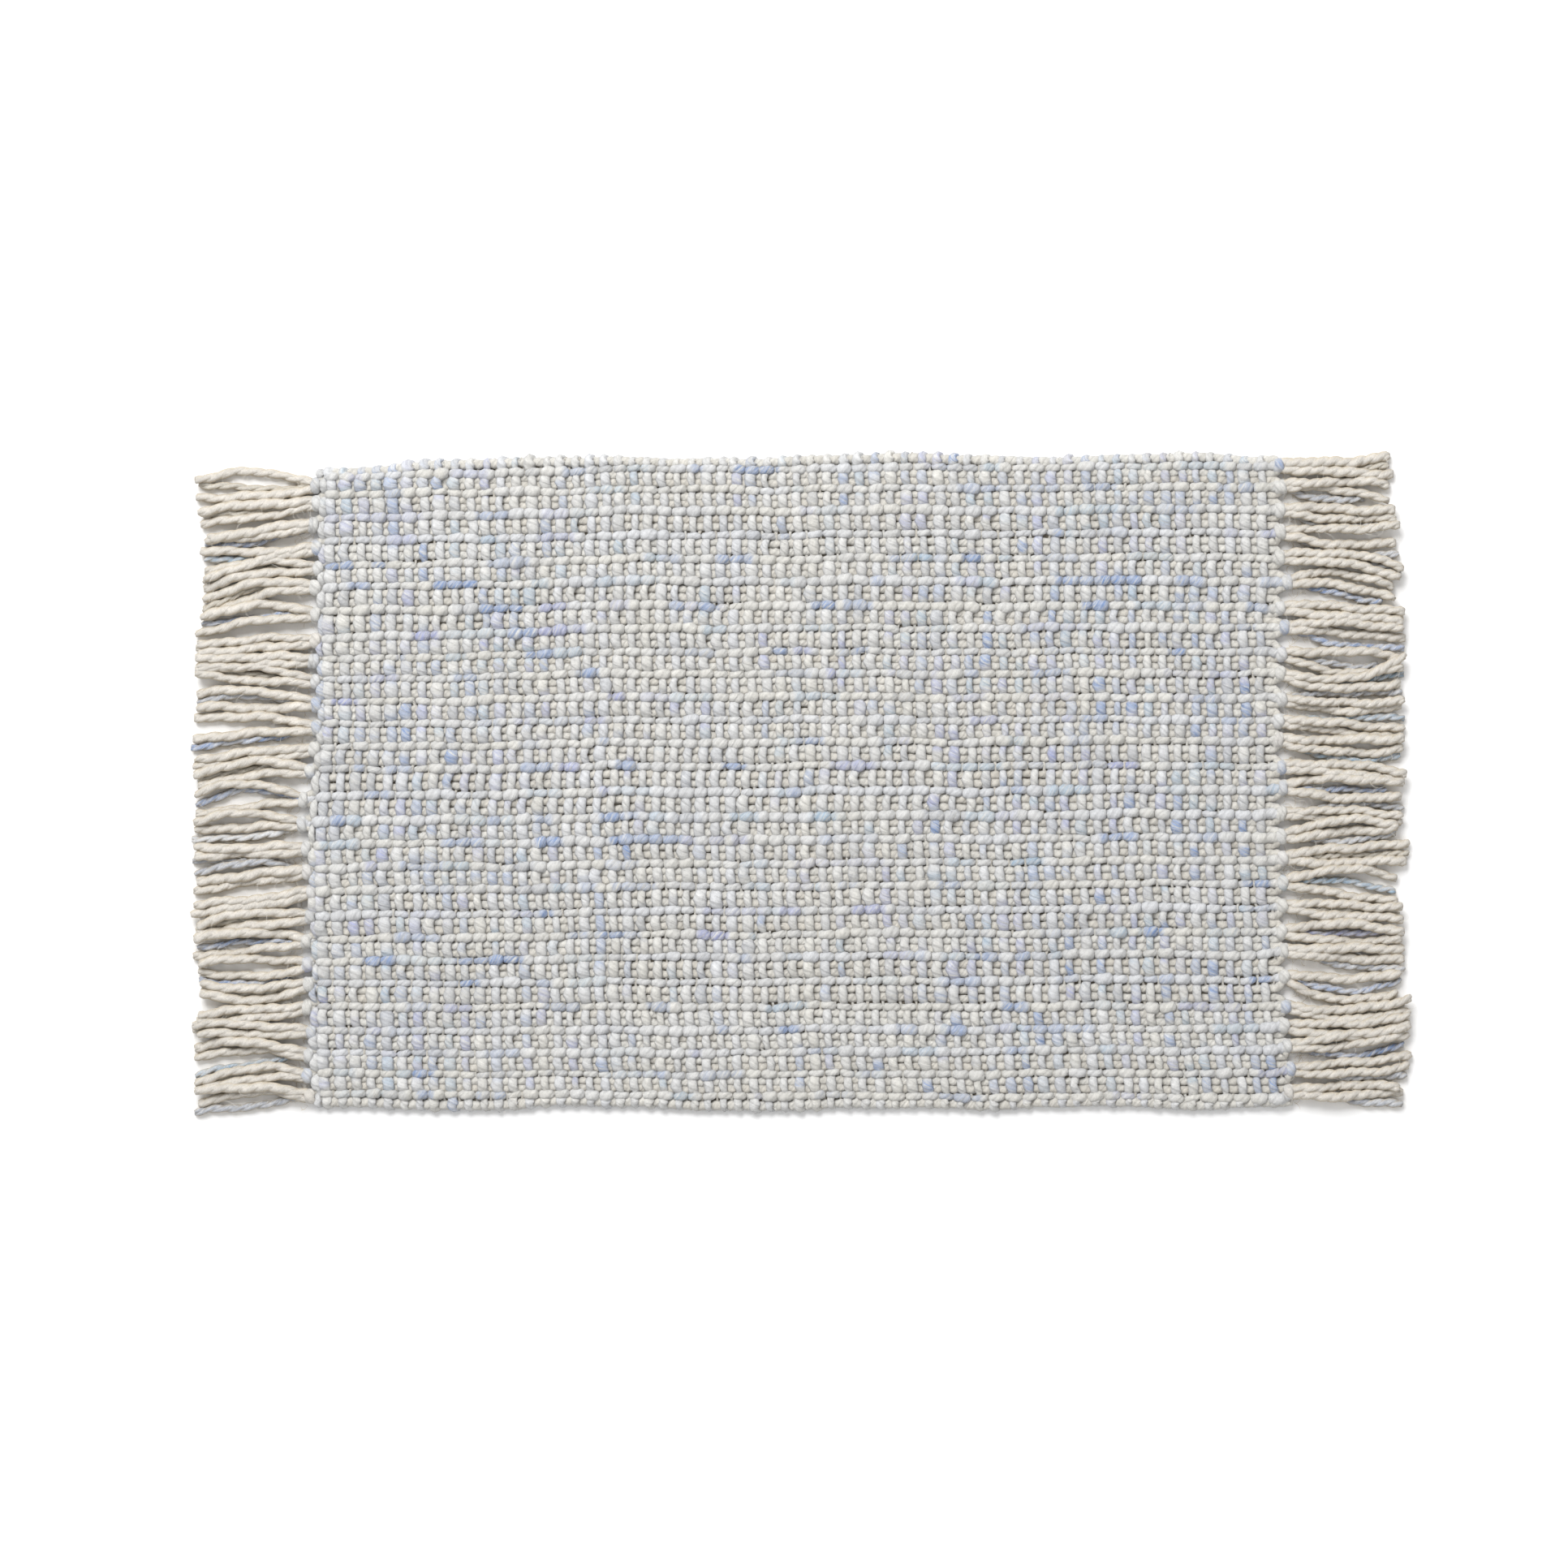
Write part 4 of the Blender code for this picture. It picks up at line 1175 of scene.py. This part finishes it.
def yarn_material(name, look):
    """Matte twisted yarn: its tint, dyed fibres, painted shade on flanks and in ply grooves, and a
    felted surface.
    """
    material, tree, shader = new_material(name)
    dye = attribute(tree, "dye")
    strand = add_node(tree, "ShaderNodeUVMap", uv_map="Strand").outputs["UV"]
    along, around, _ = add_node(tree, "ShaderNodeSeparateXYZ", {0: strand}).outputs
    turn = sums(tree, "MULTIPLY_ADD", along, 1.0 / (look.pitch * MM), around)
    # Painted shade: the colour is darker in the grooves between the plies, by groove_shade.
    wave = sums(tree, "COSINE", sums(tree, "MULTIPLY", turn, 2.0 * TURN))
    groove = sums(tree, "POWER", sums(tree, "MULTIPLY_ADD", wave, 0.5, 0.5), GROOVE_SHARPNESS)
    # Painted shade: the colour goes darker towards the yarn's flanks and underside, with full tint on
    # top.
    painted_shade_mix = sums(tree, "COSINE", sums(tree, "MULTIPLY", around, TURN))
    painted_shade_mix = sums(tree, "MULTIPLY_ADD", painted_shade_mix, 0.5 * look.flank_share, 0.5 * look.flank_share)
    fibre = strand_noise(tree, along, turn, FIBRE_SCALE, look.fibres, 4.0, 0.7)
    streak = strand_noise(tree, along, turn, STREAK_SCALE, look.fibres * 0.45, 2.0, 0.55)
    felt = noise(tree, position(tree), FELT_SCALE, 3.0, 0.6, 0.5)
    patch = noise(tree, position(tree), PATCH_SCALE)

    share = sums(tree, "MULTIPLY", dye["Alpha"], ramped(tree, streak, 0.2, 0.7))
    colour = mixed(tree, share, attribute(tree, "tint")["Color"], dye["Color"])
    colour = mixed(tree, painted_shade_mix, colour, (*HUES[look.flank], 1.0))
    # The fibre noise is partly the fibres' own paler and darker tone, partly painted highlights on
    # fibres and painted shade between them.
    light = sums(tree, "MULTIPLY_ADD", fibre, *FIBRE_LIGHT)
    for value, shades in ((felt, FELT_LIGHT), (patch, PATCH_LIGHT), (groove, (-look.groove_shade, 1.0))):
        light = sums(tree, "MULTIPLY", light, sums(tree, "MULTIPLY_ADD", value, *shades))
    tree.links.new(lit(tree, colour, light), shader.inputs["Base Color"])

    height = sums(tree, "MULTIPLY", groove, -look.ply_depth)
    height = sums(tree, "MULTIPLY_ADD", fibre, FIBRE_RELIEF, height)
    height = sums(tree, "MULTIPLY_ADD", felt, FELT_RELIEF, height)
    add_bump(tree, shader, height, MM, 1.0)
    return material


def fibre_material():
    """Single fibres, paler and darker from one to the next."""
    material, tree, shader = new_material("stray_fibre")
    light = sums(tree, "MULTIPLY_ADD", noise(tree, position(tree), 60.0), 0.5, 0.8)
    colour = lit(tree, attribute(tree, "tint")["Color"], light)
    tree.links.new(colour, shader.inputs["Base Color"])
    return material


def painted_shade_ground_material():
    """Matted jute fibre, painted dark as shade, seen only through the smallest gaps."""
    material, tree, shader = new_material("matted_fibre_in_painted_shade")
    fibre = noise(tree, position(tree), 700.0, 5.0, 0.7)
    # Painted shade: dark brown where the deep gaps between the yarns show the ground.
    colour = ramp(tree, fibre, linear(70, 64, 56), linear(150, 142, 128))
    tree.links.new(colour, shader.inputs["Base Color"])
    add_bump(tree, shader, fibre, 0.5 * MM, 1.0)
    return material


# The studio

FRAME_WIDTH = 1.1534    # of the floor that the camera sees
CAMERA_LENS = 100.0
CAMERA_X = -0.0125
CAMERA_Y = -0.0003
MAT_MIDDLE_HEIGHT = 0.005
FLOOR_SHADES = (0.92, 0.95)
SKY_STRENGTH = 0.70
KEY_SIZE = 2.0
KEY_POWER = 155.0
KEY_PLACE = (-1.0, 2.45, 2.8)


def make_floor():
    """A pale, plain floor."""
    bpy.ops.mesh.primitive_plane_add(size=6.0, location=(0.0, 0.0, 0.0))
    floor = bpy.context.object
    floor.name = "floor"
    material, tree, shader = new_material("floor")
    shades = [(shade, shade, shade) for shade in FLOOR_SHADES]
    colour = ramp(tree, noise(tree, position(tree), 3.0), *shades)
    tree.links.new(colour, shader.inputs["Base Color"])
    floor.data.materials.append(material)


def make_light(scene):
    """Soft daylight from all round and from the top left."""
    world = bpy.data.worlds.new("studio")
    world.use_nodes = True
    background = world.node_tree.nodes["Background"]
    background.inputs["Color"].default_value = (1.0, 1.0, 1.0, 1.0)
    background.inputs["Strength"].default_value = SKY_STRENGTH
    scene.world = world
    lamp = bpy.data.lights.new("key", "AREA")
    lamp.size = KEY_SIZE
    lamp.energy = KEY_POWER
    key = bpy.data.objects.new("key", lamp)
    key.location = KEY_PLACE
    key.rotation_euler = (-key.location).to_track_quat("-Z", "Y").to_euler()
    scene.collection.objects.link(key)


def make_camera(scene):
    """A camera straight above the mat."""
    lens = bpy.data.cameras.new("camera")
    lens.sensor_width = 36.0
    lens.lens = CAMERA_LENS
    camera = bpy.data.objects.new("camera", lens)
    distance = FRAME_WIDTH * CAMERA_LENS / lens.sensor_width
    camera.location = (CAMERA_X, CAMERA_Y, distance + MAT_MIDDLE_HEIGHT)
    scene.collection.objects.link(camera)
    scene.camera = camera


def make_studio():
    """The floor, the light and the camera."""
    scene = bpy.context.scene
    scene.view_settings.view_transform = "Standard"
    make_floor()
    make_light(scene)
    make_camera(scene)


def main():
    """Dress the mat."""
    rng = np.random.default_rng(SEED)
    materials = {name: yarn_material(name + "_yarn", look) for name, look in LOOKS.items()}
    materials["fibre"] = fibre_material()
    make_studio()
    yarns = make_lengthwise(rng, materials) + make_picks(rng, materials["pick"])
    for name, knots, side, twist, node in (
            ("left_fringe", LEFT_KNOTS, -1, LEFT_TWIST, "fringe_left"),
            ("right_fringe", RIGHT_KNOTS, 1, RIGHT_TWIST, "fringe_right")):
        yarns.extend(make_fringe(rng, name, knots, side, twist, node, materials))
    yarns.append(make_weave_fibres(rng, materials["fibre"]))
    make_ground(painted_shade_ground_material())


main()
